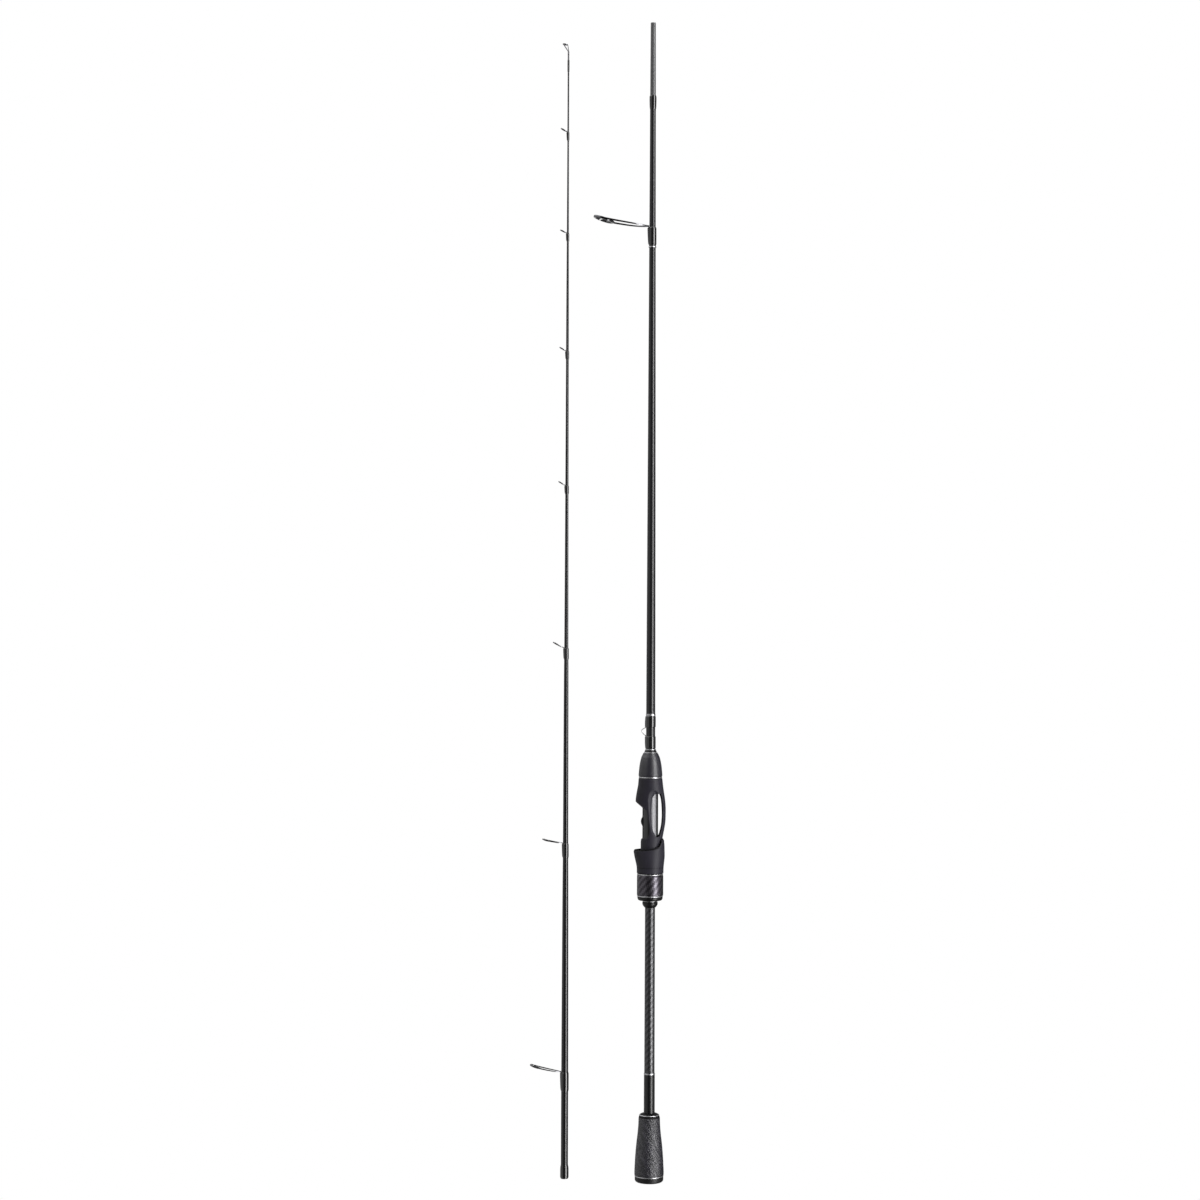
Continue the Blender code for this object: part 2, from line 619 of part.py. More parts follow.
def lock_nut():
    """A threaded core that carries a woven-carbon sleeve between two bright rings."""
    bore = BARREL_R + 0.0004
    tail_bore = 0.0079
    core = [
        (0.0111, 0.2950), (0.0111, 0.2728), (0.0120, 0.2722), (0.0119, 0.2712), (0.0108, 0.2702),
        (tail_bore, 0.2702), (tail_bore, 0.2718), (bore, 0.2728), (bore, 0.2950),
    ]
    turned("nut_core", NUT, BLACK, core, ROUND)
    inside = 0.0111 + FINE_GAP
    turned("nut_front_ring", NUT, SILVER, band(0.0125, inside, 0.2939, 0.2950), ROUND)
    turned("nut_sleeve", NUT, CARBON, band(0.01262, inside, 0.2746, 0.2937), ROUND)
    turned("nut_rear_ring", NUT, SILVER, band(0.0123, inside, 0.2731, 0.2744), ROUND)


reel_seat()
seat_plates()
sliding_hood()
lock_nut()


# ---------------------------------------------------------------- rear handle


def rear_handle():
    """The collar behind the seat, the woven tube, the gloss wrap, the flared butt grip and its cap."""
    fit = FINE_GAP / 2
    high, low = 0.2716, 0.1042
    tube = [(0.00479, high), (0.00493, low)]
    bores = [radius_at(BUTT_BLANK, z) + fit for z in (high, low)]
    turned("rear_tube", BUTT, CARBON, sleeve(tube, bores[0] + fit, bores[1]), SLIM)
    collar = [
        (0.0069, 0.2687), (0.0073, 0.2682), (0.0073, 0.2660), (0.0067, 0.2649), (0.0059, 0.2638),
        (0.0052, 0.2626),
    ]
    turned("rear_collar", BUTT, BLACK, sleeve(collar, 0.00479 + 2 * FINE_GAP), ROUND)

    bore = BUTT_BLANK[0][1] + FINE_GAP
    turned("rear_tube_ring", BUTT, SILVER, band(0.00528, bore, 0.1026, 0.1040), SLIM)
    turned("lower_wrap", BUTT, THREAD, band(0.00522, bore, 0.0638, 0.1024), SLIM)
    check = [(0.0088, 0.0636), (0.0096, 0.0631), (0.0099, 0.0624), (0.0100, 0.0618)]
    turned("grip_check", BUTT, BLACK, sleeve(check, bore), ROUND)
    grip = [
        (0.01025, 0.0615), (0.01032, 0.0582), (0.01068, 0.0515), (0.01198, 0.0396), (0.01293, 0.0300),
        (0.01358, 0.0204), (0.01402, 0.0108), (0.01408, 0.0080), (0.01400, 0.0067),
    ]
    turned("rear_grip", BUTT, GRIP, sleeve(grip, bore), ROUND)
    turned("grip_ring", BUTT, SILVER, band(0.01385, bore, 0.0054, 0.0064), ROUND)

    edge_r, edge = 0.0137, 0.0024
    rim = [(edge_r, 0.0051)]
    for i in range(5):
        angle = math.radians(22.5 * i)
        rim.append((edge_r - edge + edge * math.cos(angle), edge - edge * math.sin(angle)))
    floor = BUTT_BLANK[0][0] - GAP
    cap = [(0.0, floor), (bore, floor), (bore, 0.0051), *rim, (0.0, 0.0)]
    turned("butt_cap", BUTT, RUBBER, cap, ROUND, hollow=False)


rear_handle()
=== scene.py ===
"""A spinning rod in two sections, standing side by side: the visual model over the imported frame.

Metres, in the frame's own axes. +Z runs towards the tips and the guides point towards -X. Outlines of turned
pieces are (radius, height) points.
"""
import math

import bmesh
import bpy
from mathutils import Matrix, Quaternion, Vector


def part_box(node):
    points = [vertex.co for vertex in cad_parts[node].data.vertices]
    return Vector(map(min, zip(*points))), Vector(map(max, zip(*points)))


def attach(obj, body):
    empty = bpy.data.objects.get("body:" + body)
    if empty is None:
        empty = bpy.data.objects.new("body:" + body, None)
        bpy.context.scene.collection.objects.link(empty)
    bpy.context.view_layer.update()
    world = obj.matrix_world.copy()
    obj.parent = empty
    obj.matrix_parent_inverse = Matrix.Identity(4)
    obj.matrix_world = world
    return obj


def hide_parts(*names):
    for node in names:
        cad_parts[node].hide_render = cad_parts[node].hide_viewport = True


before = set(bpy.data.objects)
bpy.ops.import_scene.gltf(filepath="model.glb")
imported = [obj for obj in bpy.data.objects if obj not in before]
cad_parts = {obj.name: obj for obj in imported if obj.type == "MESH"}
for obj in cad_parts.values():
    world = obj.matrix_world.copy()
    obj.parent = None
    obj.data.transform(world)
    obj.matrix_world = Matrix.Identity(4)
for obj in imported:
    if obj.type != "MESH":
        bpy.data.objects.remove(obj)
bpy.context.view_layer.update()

BUTT, HOOD, NUT, TIP = "butt_section", "sliding_hood", "lock_nut", "tip_section"
TIP_X = (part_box("socket_wrap")[0].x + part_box("socket_wrap")[1].x) / 2
BUTT_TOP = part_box("butt_blank")[1].z
TIP_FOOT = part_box("tip_socket")[0].z
WALL = 0.0011
GAP = 0.0001  # between pieces that sit on each other, and how far a winding sinks into its blank
THREAD_LEAST = 0.00006  # the least that a winding stands off its blank
SHARP_EDGE = math.radians(38)
TAU = math.tau

# (height, radius) down the outside of each blank, thick end first
BUTT_BLANK = (
    (0.0040, 0.00465), (0.2640, 0.00454), (0.4460, 0.00436), (0.6530, 0.00386), (0.9300, 0.00302),
    (1.0200, 0.00279), (1.0383, 0.00278),
)
TIP_BLANK = (
    (TIP_FOOT, 0.00343), (0.1000, 0.00335), (0.2700, 0.00285), (0.3250, 0.00256), (0.4800, 0.00220),
    (0.5150, 0.00195), (0.6650, 0.00153), (0.8200, 0.00128), (0.9100, 0.00098), (1.0000, 0.00080),
    (1.0741, 0.00074),
)


def radius_at(blank, height):
    for (z0, r0), (z1, r1) in zip(blank, blank[1:]):
        if height <= z1:
            return r0 + (r1 - r0) * (height - z0) / (z1 - z0)
    return blank[-1][1]


# ---------------------------------------------------------------- materials


def feed(tree, socket, value):
    """Link another node's socket to this one, or set its constant."""
    if isinstance(value, bpy.types.NodeSocket):
        tree.links.new(value, socket)
    else:
        socket.default_value = value


def math_node(tree, operation, *values):
    node = tree.nodes.new("ShaderNodeMath")
    node.operation = operation
    for socket, value in zip(node.inputs, values):
        feed(tree, socket, value)
    return node.outputs[0]


def shaded(colour, factor):
    return tuple(c * factor for c in colour)


class Surface:
    """A Principled material, with short ways to add the nodes that vary it."""

    def __init__(self, name, colour, roughness, metallic=0.0, coat=0.0, coat_roughness=0.03, specular=0.5):
        self.material = bpy.data.materials.new(name)
        self.material.use_nodes = True
        self.tree = self.material.node_tree
        self.nodes, self.links = self.tree.nodes, self.tree.links
        self.shader = self.nodes["Principled BSDF"]
        self.set("Base Color", (*colour, 1.0))
        self.set("Roughness", roughness)
        self.set("Metallic", metallic)
        self.set("Coat Weight", coat)
        self.set("Coat Roughness", coat_roughness)
        self.set("Specular IOR Level", specular)

    def set(self, socket, value):
        feed(self.tree, self.shader.inputs[socket], value)

    def math(self, operation, *values):
        return math_node(self.tree, operation, *values)

    def around_and_along(self):
        """u, from 0 to 1 round the piece, and v, the way along it in metres."""
        split = self.nodes.new("ShaderNodeSeparateXYZ")
        self.links.new(self.nodes.new("ShaderNodeTexCoord").outputs["UV"], split.inputs[0])
        return split.outputs[0], split.outputs[1]

    def place(self):
        """The place on the piece, in metres."""
        return self.nodes.new("ShaderNodeTexCoord").outputs["Object"]

    def vector(self, x, y):
        node = self.nodes.new("ShaderNodeCombineXYZ")
        for socket, value in zip(node.inputs, (x, y)):
            feed(self.tree, socket, value)
        return node.outputs[0]

    def noise(self, vector, scale, detail=2.0, roughness=0.5):
        node = self.nodes.new("ShaderNodeTexNoise")
        self.links.new(vector, node.inputs["Vector"])
        node.inputs["Scale"].default_value = scale
        node.inputs["Detail"].default_value = detail
        node.inputs["Roughness"].default_value = roughness
        return node.outputs["Fac"]

    def cells(self, vector, scale):
        node = self.nodes.new("ShaderNodeTexVoronoi")
        self.links.new(vector, node.inputs["Vector"])
        node.inputs["Scale"].default_value = scale
        return node.outputs["Distance"]

    def between(self, factor, low, high):
        """A value or a colour that goes from low to high as factor goes from 0 to 1."""
        node = self.nodes.new("ShaderNodeMix")
        colour = isinstance(low, tuple)
        node.data_type = "RGBA" if colour else "FLOAT"
        # the mix node keeps a pair of inputs and an output for each type of data
        first, result = (6, 2) if colour else (2, 0)
        feed(self.tree, node.inputs[0], factor)
        feed(self.tree, node.inputs[first], (*low, 1.0) if colour else low)
        feed(self.tree, node.inputs[first + 1], (*high, 1.0) if colour else high)
        return node.outputs[result]

    def bump(self, height, distance, strength=1.0):
        node = self.nodes.new("ShaderNodeBump")
        node.inputs["Distance"].default_value = distance
        node.inputs["Strength"].default_value = strength
        self.links.new(height, node.inputs["Height"])
        self.set("Normal", node.outputs[0])


def graphite(name, low, high, roughness, specular=0.5):
    """A satin blank: dark graphite with fine grain and the faint spiral left by the tape it was rolled under."""
    tape_pitch = 0.0035
    s = Surface(name, high, roughness, specular=specular)
    u, v = s.around_and_along()
    spiral = s.math("PINGPONG", s.math("ADD", s.math("DIVIDE", v, tape_pitch), u), 0.5)
    grain = s.noise(s.vector(s.math("MULTIPLY", u, 0.02), v), 2500.0)
    s.set("Base Color", s.between(s.math("MULTIPLY_ADD", spiral, 0.5, s.math("MULTIPLY", grain, 0.75)), low, high))
    s.set("Roughness", s.between(grain, roughness - 0.02, roughness + 0.03))
    return s.material


def epoxy_thread(name, colour):
    """Fine thread under a thick clear coat. The thread shows as close rings below the smooth gloss."""
    pitch = 0.0002
    s = Surface(name, colour, 0.45, coat=1.0, coat_roughness=0.05, specular=0.08)
    u, v = s.around_and_along()
    turns = s.math("ADD", v, s.math("MULTIPLY", u, pitch))
    thread = s.math("SINE", s.math("MULTIPLY", turns, TAU / pitch))
    s.set("Base Color", s.between(s.math("MULTIPLY_ADD", thread, 0.5, 0.5), shaded(colour, 0.5), colour))
    s.bump(thread, 0.00001)
    return s.material


def woven_carbon(name, cells_around, cell, dark, light, roughness):
    """Two-by-two twill under a thin clear coat: each tow passes over two and under two, a step on in every row."""
    s = Surface(name, light, roughness, metallic=1.0, coat=0.15, coat_roughness=0.10)
    u, v = s.around_and_along()
    column = s.math("MULTIPLY", u, float(cells_around))
    row = s.math("DIVIDE", v, cell)
    step = s.math("SUBTRACT", s.math("FLOOR", column), s.math("FLOOR", row))
    over = s.math("LESS_THAN", s.math("FLOORED_MODULO", step, 4.0), 2.0)
    crown = s.between(over, s.math("PINGPONG", row, 0.5), s.math("PINGPONG", column, 0.5))
    fibre = s.noise(s.vector(s.math("MULTIPLY", u, 0.08), v), 6000.0, 1.0)
    # over tows lighter than under tows, and each tow lightest along its crown: the weave is real, its light and dark
    # are painted sheen for how each tow direction takes the light
    shade = s.math("MULTIPLY_ADD", over, 0.65, s.math("MULTIPLY", crown, 0.7))
    s.set("Base Color", s.between(s.math("MULTIPLY", shade, s.math("MULTIPLY_ADD", fibre, 0.6, 0.7)), dark, light))
    s.set("Roughness", s.between(fibre, roughness - 0.05, roughness + 0.05))
    s.bump(crown, 0.00008, 0.5)
    return s.material


def soft_touch(name, colour, roughness, grain=2600.0, depth=0.00003, specular=0.5):
    """Moulded or lacquered black, with a fine grain and broad, faint patches."""
    s = Surface(name, colour, roughness, specular=specular)
    place = s.place()
    fine = s.noise(place, grain, 3.0, 0.6)
    broad = s.noise(place, 120.0, 2.0)
    s.set("Base Color", s.between(broad, shaded(colour, 0.8), shaded(colour, 1.25)))
    s.set("Roughness", s.between(fine, roughness - 0.07, roughness + 0.07))
    s.bump(fine, depth)
    return s.material


def foam(name, colour, roughness):
    """Closed-cell foam, ground to shape: small open pores with worn rims."""
    s = Surface(name, colour, roughness)
    place = s.place()
    pores = s.cells(place, 1500.0)
    mottle = s.noise(place, 500.0, 3.0)
    s.set("Base Color", s.between(mottle, shaded(colour, 0.7), shaded(colour, 1.4)))
    s.set("Roughness", s.between(mottle, roughness - 0.06, roughness + 0.08))
    s.bump(pores, 0.00006, 0.8)
    return s.material


def grip_skin(name, dark, light):
    """A tough skin over the butt grip, embossed with short slanted grains in loose slanting bands."""
    girth, slant = 0.078, 0.75
    s = Surface(name, light, 0.46, specular=0.47)
    u, v = s.around_and_along()
    round_m = s.math("MULTIPLY", u, girth)
    lean = s.math("ADD", round_m, s.math("MULTIPLY", v, slant))
    cross = s.math("SUBTRACT", v, s.math("MULTIPLY", round_m, slant))
    bands = s.noise(s.vector(lean, s.math("MULTIPLY", cross, 0.22)), 230.0, 1.0)
    grains = s.noise(s.vector(lean, s.math("MULTIPLY", cross, 0.45)), 700.0, 3.0, 0.6)
    depth = s.math("MULTIPLY_ADD", grains, 0.6, s.math("MULTIPLY", bands, 0.4))
    shade = s.math("MULTIPLY_ADD", s.math("SUBTRACT", depth, 0.5), 6.0, 0.5)
    # darker where the embossing is low, lighter on the raised grains: painted shade in the hollows of the emboss
    s.set("Base Color", s.between(s.math("POWER", s.math("MAXIMUM", shade, 0.0), 2.0), dark, light))
    s.set("Roughness", s.between(shade, 0.50, 0.22))
    s.bump(depth, 0.00125, 1.0)
    return s.material


def turned_metal(name, colour, roughness):
    """Bright metal with the fine rings that turning leaves."""
    s = Surface(name, colour, roughness, metallic=1.0)
    rings = s.noise(s.vector(0.0, s.around_and_along()[1]), 9000.0, 2.0)
    s.set("Roughness", s.between(rings, roughness * 0.7, roughness * 1.4))
    s.set("Base Color", s.between(rings, shaded(colour, 0.93), colour))
    return s.material


def pressed_metal(name, colour, roughness):
    """Plated or blackened metal, a little uneven in its polish."""
    s = Surface(name, colour, roughness, metallic=1.0)
    wear = s.noise(s.place(), 900.0, 3.0)
    s.set("Roughness", s.between(wear, roughness * 0.85, roughness * 1.2))
    s.set("Base Color", s.between(wear, shaded(colour, 0.85), colour))
    return s.material


def polished_ceramic(name, colour):
    s = Surface(name, colour, 0.12, coat=0.6, coat_roughness=0.03)
    s.set("Base Color", s.between(s.noise(s.place(), 1200.0, 2.0), shaded(colour, 0.8), colour))
    return s.material


def brushed_plate(name, colour):
    stretch = 0.02
    s = Surface(name, colour, 0.38)
    u, v = s.around_and_along()
    lines = s.noise(s.vector(s.math("MULTIPLY", u, stretch), s.math("MULTIPLY", v, stretch)), 5000.0, 2.0)
    s.set("Roughness", s.between(lines, 0.34, 0.44))
    s.set("Base Color", s.between(lines, shaded(colour, 0.85), colour))
    return s.material


BLANK_SKIN = graphite("blank_graphite", (0.0035, 0.0035, 0.0040), (0.0060, 0.0060, 0.0067), 0.28, 0.36)
TIP_SKIN = graphite("tip_graphite", (0.0014, 0.0014, 0.0016), (0.0032, 0.0032, 0.0036), 0.25, 0.40)
FERRULE_SKIN = graphite("ground_graphite", (0.022, 0.022, 0.023), (0.045, 0.045, 0.047), 0.40)
THREAD = epoxy_thread("black_thread_epoxy", (0.0016, 0.0016, 0.0018))
SEAT_SKIN = soft_touch("seat_soft_touch", (0.0092, 0.0084, 0.0126), 0.52, specular=0.18)
CORE_SKIN = soft_touch("core_satin", (0.0060, 0.0066, 0.0064), 0.40, 3200.0, 0.00001)
PAD_SKIN = soft_touch("pad_rubber", (0.0060, 0.0064, 0.0062), 0.50, specular=0.4)
GLOSS_BLACK = soft_touch("gloss_black_plastic", (0.0016, 0.0016, 0.0018), 0.34, 900.0, 0.000004, 0.22)
LINER_BLACK = soft_touch("hood_liner_black", (0.0010, 0.0010, 0.0012), 0.60, 900.0, 0.000004, 0.12)
FOREGRIP_SKIN = foam("foregrip_foam", (0.0046, 0.0042, 0.0074), 0.42)
CAP_SKIN = soft_touch("cap_rubber", (0.0022, 0.0022, 0.0024), 0.46, specular=0.2)
GRIP = grip_skin("butt_grip_skin", (0.0008, 0.0006, 0.0026), (0.0205, 0.0194, 0.0248))
NUT_CARBON = woven_carbon("nut_carbon", 48, 0.00165, (0.021, 0.019, 0.023), (0.086, 0.080, 0.092), 0.40)
TUBE_CARBON = woven_carbon("tube_carbon", 20, 0.0015, (0.030, 0.030, 0.031), (0.080, 0.080, 0.083), 0.42)
LOWER_GLOSS = soft_touch("satin_black_lacquer", (0.0014, 0.0014, 0.0016), 0.33, 900.0, 0.000004, 0.33)
BRIGHT = turned_metal("bright_ring", (0.34, 0.34, 0.35), 0.38)
FRAME_METAL = pressed_metal("frame_metal", (0.095, 0.095, 0.10), 0.20)
WIRE_METAL = pressed_metal("keeper_metal", (0.30, 0.30, 0.30), 0.22)
RING_CERAMIC = polished_ceramic("ring_ceramic", (0.012, 0.012, 0.013))
PLATE_METAL = brushed_plate("window_plate", (0.12, 0.118, 0.125))
ARBOR_FOAM = foam("arbor_foam", (0.30, 0.30, 0.31), 0.80)


# ---------------------------------------------------------------- shapes


def smooth(points, steps, closed=False):
    """Points of a smooth curve through these ones, of any dimension."""
    count = len(points)
    out = []
    for i in range(count if closed else count - 1):
        near = [(i + k) % count if closed else min(max(i + k, 0), count - 1) for k in (-1, 0, 1, 2)]
        for j in range(steps):
            t = j / steps
            out.append(tuple(
                0.5 * (2 * b + (c - a) * t + (2 * a - 5 * b + 4 * c - d) * t**2 + (3 * b - a - 3 * c + d) * t**3)
                for a, b, c, d in zip(*(points[k] for k in near))
            ))
    return out if closed else [*out, tuple(points[-1])]


def eased(outline, radius, steps=3):
    """A closed outline with its corners rounded."""
    out = []
    count = len(outline)
    for i in range(count):
        before, here, after = (Vector(outline[(i + k) % count]) for k in (-1, 0, 1))
        a, b = before - here, after - here
        reach = min(radius, a.length * 0.45, b.length * 0.45)
        if reach < 1e-7 or a.angle(b) > math.radians(160):
            out.append(tuple(here))
            continue
        start, end = here + a.normalized() * reach, here + b.normalized() * reach
        for j in range(steps + 1):
            t = j / steps
            out.append(tuple(start * (1 - t) ** 2 + here * 2 * t * (1 - t) + end * t * t))
    return out


def shown(name, mesh):
    """An object in the scene with this mesh, smooth but for its real edges."""
    mesh.shade_smooth()
    mesh.set_sharp_from_angle(angle=SHARP_EDGE)
    obj = bpy.data.objects.new(name, mesh)
    bpy.context.scene.collection.objects.link(obj)
    return obj


def grid(name, rows, joined=False, capped=False):
    """A surface through closed rows of points. joined runs the last row back into the first."""
    shape = bmesh.new()
    layer = shape.loops.layers.uv.new("around_along")
    verts = [[shape.verts.new(point) for point in row] for row in rows]
    along = [0.0]
    for a, b in zip(rows, rows[1:] + rows[:1]):
        along.append(along[-1] + (Vector(a[0]) - Vector(b[0])).length)
    count = len(rows[0])
    for k in range(len(rows) if joined else len(rows) - 1):
        upper, lower = verts[k], verts[(k + 1) % len(rows)]
        for i in range(count):
            j = (i + 1) % count
            face = shape.faces.new((upper[i], lower[i], lower[j], upper[j]))
            spots = ((i, k), (i, k + 1), (i + 1, k + 1), (i + 1, k))
            for loop, (column, row) in zip(face.loops, spots):
                loop[layer].uv = (column / count, -along[row])
    if capped:
        shape.faces.new(verts[0])
        shape.faces.new(reversed(verts[-1]))
    bmesh.ops.remove_doubles(shape, verts=shape.verts, dist=1e-7)
    bmesh.ops.dissolve_degenerate(shape, edges=shape.edges, dist=1e-8)
    bmesh.ops.recalc_face_normals(shape, faces=shape.faces)
    mesh = bpy.data.meshes.new(name)
    shape.to_mesh(mesh)
    shape.free()
    return shown(name, mesh)


def piece(obj, body, material, slot, *nodes):
    """Dress a piece, let it ride on its body, and show it in place of the CAD nodes that it stands for."""
    obj.data.materials.clear()
    obj.data.materials.append(material)
    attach(obj, body)
    if nodes:
        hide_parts(*nodes)


def circle(sides):
    return [TAU * i / sides for i in range(sides)]


def round_row(radius, height, angles, x=0.0):
    return [(x + radius * math.cos(angle), radius * math.sin(angle), height) for angle in angles]


def turned(name, outline, sides, x=0.0, z=0.0, tilt=0.0, hollow=True):
    """A turned piece about the vertical through x. tilt leans it about Y, round the point (x, z)."""
    lean_x, lean_z = math.cos(tilt), math.sin(tilt)
    rows = []
    for radius, height in outline:
        flat = round_row(radius, height, circle(sides))
        rows.append([(x + px * lean_x + pz * lean_z, py, z + pz * lean_x - px * lean_z) for px, py, pz in flat])
    return grid(name, rows, joined=hollow)


def sleeve(outer, bore, edge=0.0002):
    """Outline of a sleeve from its outer points, listed from the top, and the radius of its bore."""
    return eased([*outer, (bore, outer[-1][1]), (bore, outer[0][1])], edge)


def band(radius, bore, low, high, edge=0.0002):
    return sleeve([(radius, high), (radius, low)], bore, edge)


def straight(start, end, steps):
    """Evenly spaced points from start to end."""
    return [tuple(a + (b - a) * i / steps for a, b in zip(start, end)) for i in range(steps + 1)]


def squared(value, power):
    return math.copysign(abs(value) ** power, value)


def swept(name, path, sections):
    """A bar along a path in any direction. Each section is (half width, half height) of its rounded shape."""
    squareness = 0.6  # below 1, an ellipse turns into a rounded rectangle
    rows = []
    for i, (point, (half_w, half_h)) in enumerate(zip(path, sections)):
        ahead = (path[min(i + 1, len(path) - 1)] - path[max(i - 1, 0)]).normalized()
        side = ahead.cross(Vector((0.0, 0.0, 1.0)))
        side = side.normalized() if side.length > 0.05 else Vector((0.0, 1.0, 0.0))
        up = side.cross(ahead).normalized()
        row = []
        for angle in circle(16):
            c, s = (squared(value, squareness) for value in (math.cos(angle), math.sin(angle)))
            row.append(tuple(point + side * (c * half_w) + up * (s * half_h)))
        rows.append(row)
    return grid(name, rows, capped=True)


def join(name, objects):
    """One object from several, with one mesh."""
    shape = bmesh.new()
    for obj in objects:
        shape.from_mesh(obj.data)
    mesh = bpy.data.meshes.new(name)
    shape.to_mesh(mesh)
    shape.free()
    for obj in objects:
        bpy.data.objects.remove(obj)
    return shown(name, mesh)


def prism(name, outline, half_width):
    """A cutter with an (x, z) outline that reaches half_width to each side along Y."""
    return grid(name, [[(x, y, z) for x, z in outline] for y in (-half_width, half_width)], capped=True)


def spread(outline, reach):
    """A closed outline moved outwards by reach."""
    out = []
    for i, (x, z) in enumerate(outline):
        (ax, az), (bx, bz) = outline[i - 1], outline[(i + 1) % len(outline)]
        length = math.hypot(bx - ax, bz - az)
        out.append((x + reach * (bz - az) / length, z - reach * (bx - ax) / length))
    return out


def stepped(name, levels):
    """A cutter through the piece along Y, from (distance from the middle, outline) levels."""
    levels = [(-y, outline) for y, outline in reversed(levels)] + list(levels)
    return grid(name, [[(x, y, z) for x, z in outline] for y, outline in levels], capped=True)


def carved(obj, cutters, voxel=0.00035, passes=3):
    """The piece with the cutters taken out of it, its edges softened as a moulding's are."""
    for cutter in cutters:
        cut = obj.modifiers.new(cutter.name, "BOOLEAN")
        cut.operation = "DIFFERENCE"
        cut.solver = "EXACT"
        cut.object = cutter
    remesh = obj.modifiers.new("even", "REMESH")
    remesh.mode = "VOXEL"
    remesh.voxel_size = voxel
    soften = obj.modifiers.new("soften", "SMOOTH")
    soften.factor = 0.5
    soften.iterations = passes
    bpy.context.view_layer.update()
    evaluated = obj.evaluated_get(bpy.context.evaluated_depsgraph_get())
    mesh = bpy.data.meshes.new_from_object(evaluated)
    obj.modifiers.clear()
    obj.data = mesh
    mesh.shade_smooth()
    for cutter in cutters:
        bpy.data.objects.remove(cutter)
    return obj


# ---------------------------------------------------------------- blanks and plain turned pieces


def blank_outline(blank, socket=()):
    """Down the outside of a blank, up the socket in its foot if it has one, and up its bore."""
    outer = [(r, z) for z, r in reversed(smooth(blank, 4))]
    start = socket[-1][1] if socket else 0.0
    inner = [(max(r - WALL, 0.00030), z) for z, r in blank if z > start]
    return [*outer, *socket, *inner]


def blanks():
    """Both blanks, the ferrule and socket that join them, and the bright trims on the butt section."""
    piece(turned("butt_blank_skin", blank_outline(BUTT_BLANK), 48), BUTT, BLANK_SKIN, "satin_graphite", "butt_blank")
    ferrule = [
        (0.00210, BUTT_TOP), (0.00236, BUTT_TOP), (0.00242, BUTT_TOP - 0.0004), (0.00272, 1.0389),
        (0.00272, 1.0384), (0.0016, 1.0384), (0.0013, BUTT_TOP - 0.0002),
    ]
    piece(turned("male_ferrule", ferrule, 48), BUTT, FERRULE_SKIN, "satin_graphite")
    socket = ((0.00283, TIP_FOOT), (0.00252, TIP_FOOT + 0.069))
    tip = turned("tip_blank_skin", blank_outline(TIP_BLANK, socket), 40, x=TIP_X)
    piece(tip, TIP, TIP_SKIN, "satin_graphite", "tip_blank", "tip_socket")

    wrap = [(0.00292, 1.0403), *smooth([
        (0.00314, 1.0400), (0.00334, 1.0388), (0.00337, 1.0352), (0.00322, 1.0300), (0.00303, 1.0280),
        (0.00293, 1.0271),
    ], 3)]
    piece(turned("ferrule_winding", sleeve(wrap, 0.00288), 48), BUTT, THREAD, "gloss_thread_epoxy", "ferrule_wrap")
    wrap = smooth([
        (0.00350, 0.0158), (0.00378, 0.0146), (0.00402, 0.0125), (0.00406, 0.0085), (0.00406, 0.0046),
        (0.00385, 0.0034),
    ], 3)
    socket_wrap = turned("socket_winding", sleeve(wrap, 0.00353), 48, x=TIP_X)
    piece(socket_wrap, TIP, THREAD, "gloss_thread_epoxy", "socket_wrap")

    low = 0.8946
    bore = radius_at(BUTT_BLANK, low) + GAP
    trim = turned("stripper_band", band(bore + 0.0005, bore, low, 0.8958, 0.0004), 48)
    piece(trim, BUTT, BRIGHT, "bright_ring", "stripper_trim")
    low = 0.4462
    trim = turned("keeper_band", band(0.00462, radius_at(BUTT_BLANK, low) + GAP, low, 0.4480, 0.0004), 48)
    piece(trim, BUTT, BRIGHT, "bright_ring", "keeper_trim")


def foregrip():
    bore = radius_at(BUTT_BLANK, 0.3866) + GAP
    check = smooth([(0.00505, 0.4134), (0.00530, 0.4130), (0.00570, 0.4123), (0.00590, 0.4117)], 3)
    piece(turned("check_cone", sleeve(check, bore), 64), BUTT, GLOSS_BLACK, "black_plastic", "winding_check")
    piece(turned("check_top_ring", band(0.00515, bore, 0.4135, 0.4143), 64), BUTT, BRIGHT, "bright_ring")
    ring = [(0.00615, 0.4114), (0.00662, 0.4111), (0.00675, 0.4106)]
    piece(turned("check_ring_band", sleeve(ring, bore), 64), BUTT, BRIGHT, "bright_ring", "check_ring")
    cone = smooth([
        (0.0071, 0.4103), (0.0079, 0.4084), (0.0088, 0.4065), (0.0093, 0.4046), (0.0098, 0.4026),
        (0.0105, 0.3988), (0.01093, 0.3950), (0.0113, 0.3912), (0.0114, 0.3890), (0.0112, 0.3882),
    ], 4)
    piece(turned("foregrip_cone", sleeve(cone, bore), 96), BUTT, FOREGRIP_SKIN, "butt_rubber", "foregrip")
    ring = turned("foregrip_band", band(0.01122, bore, 0.3867, 0.3879, 0.0005), 96)
    piece(ring, BUTT, BRIGHT, "bright_ring", "foregrip_ring")


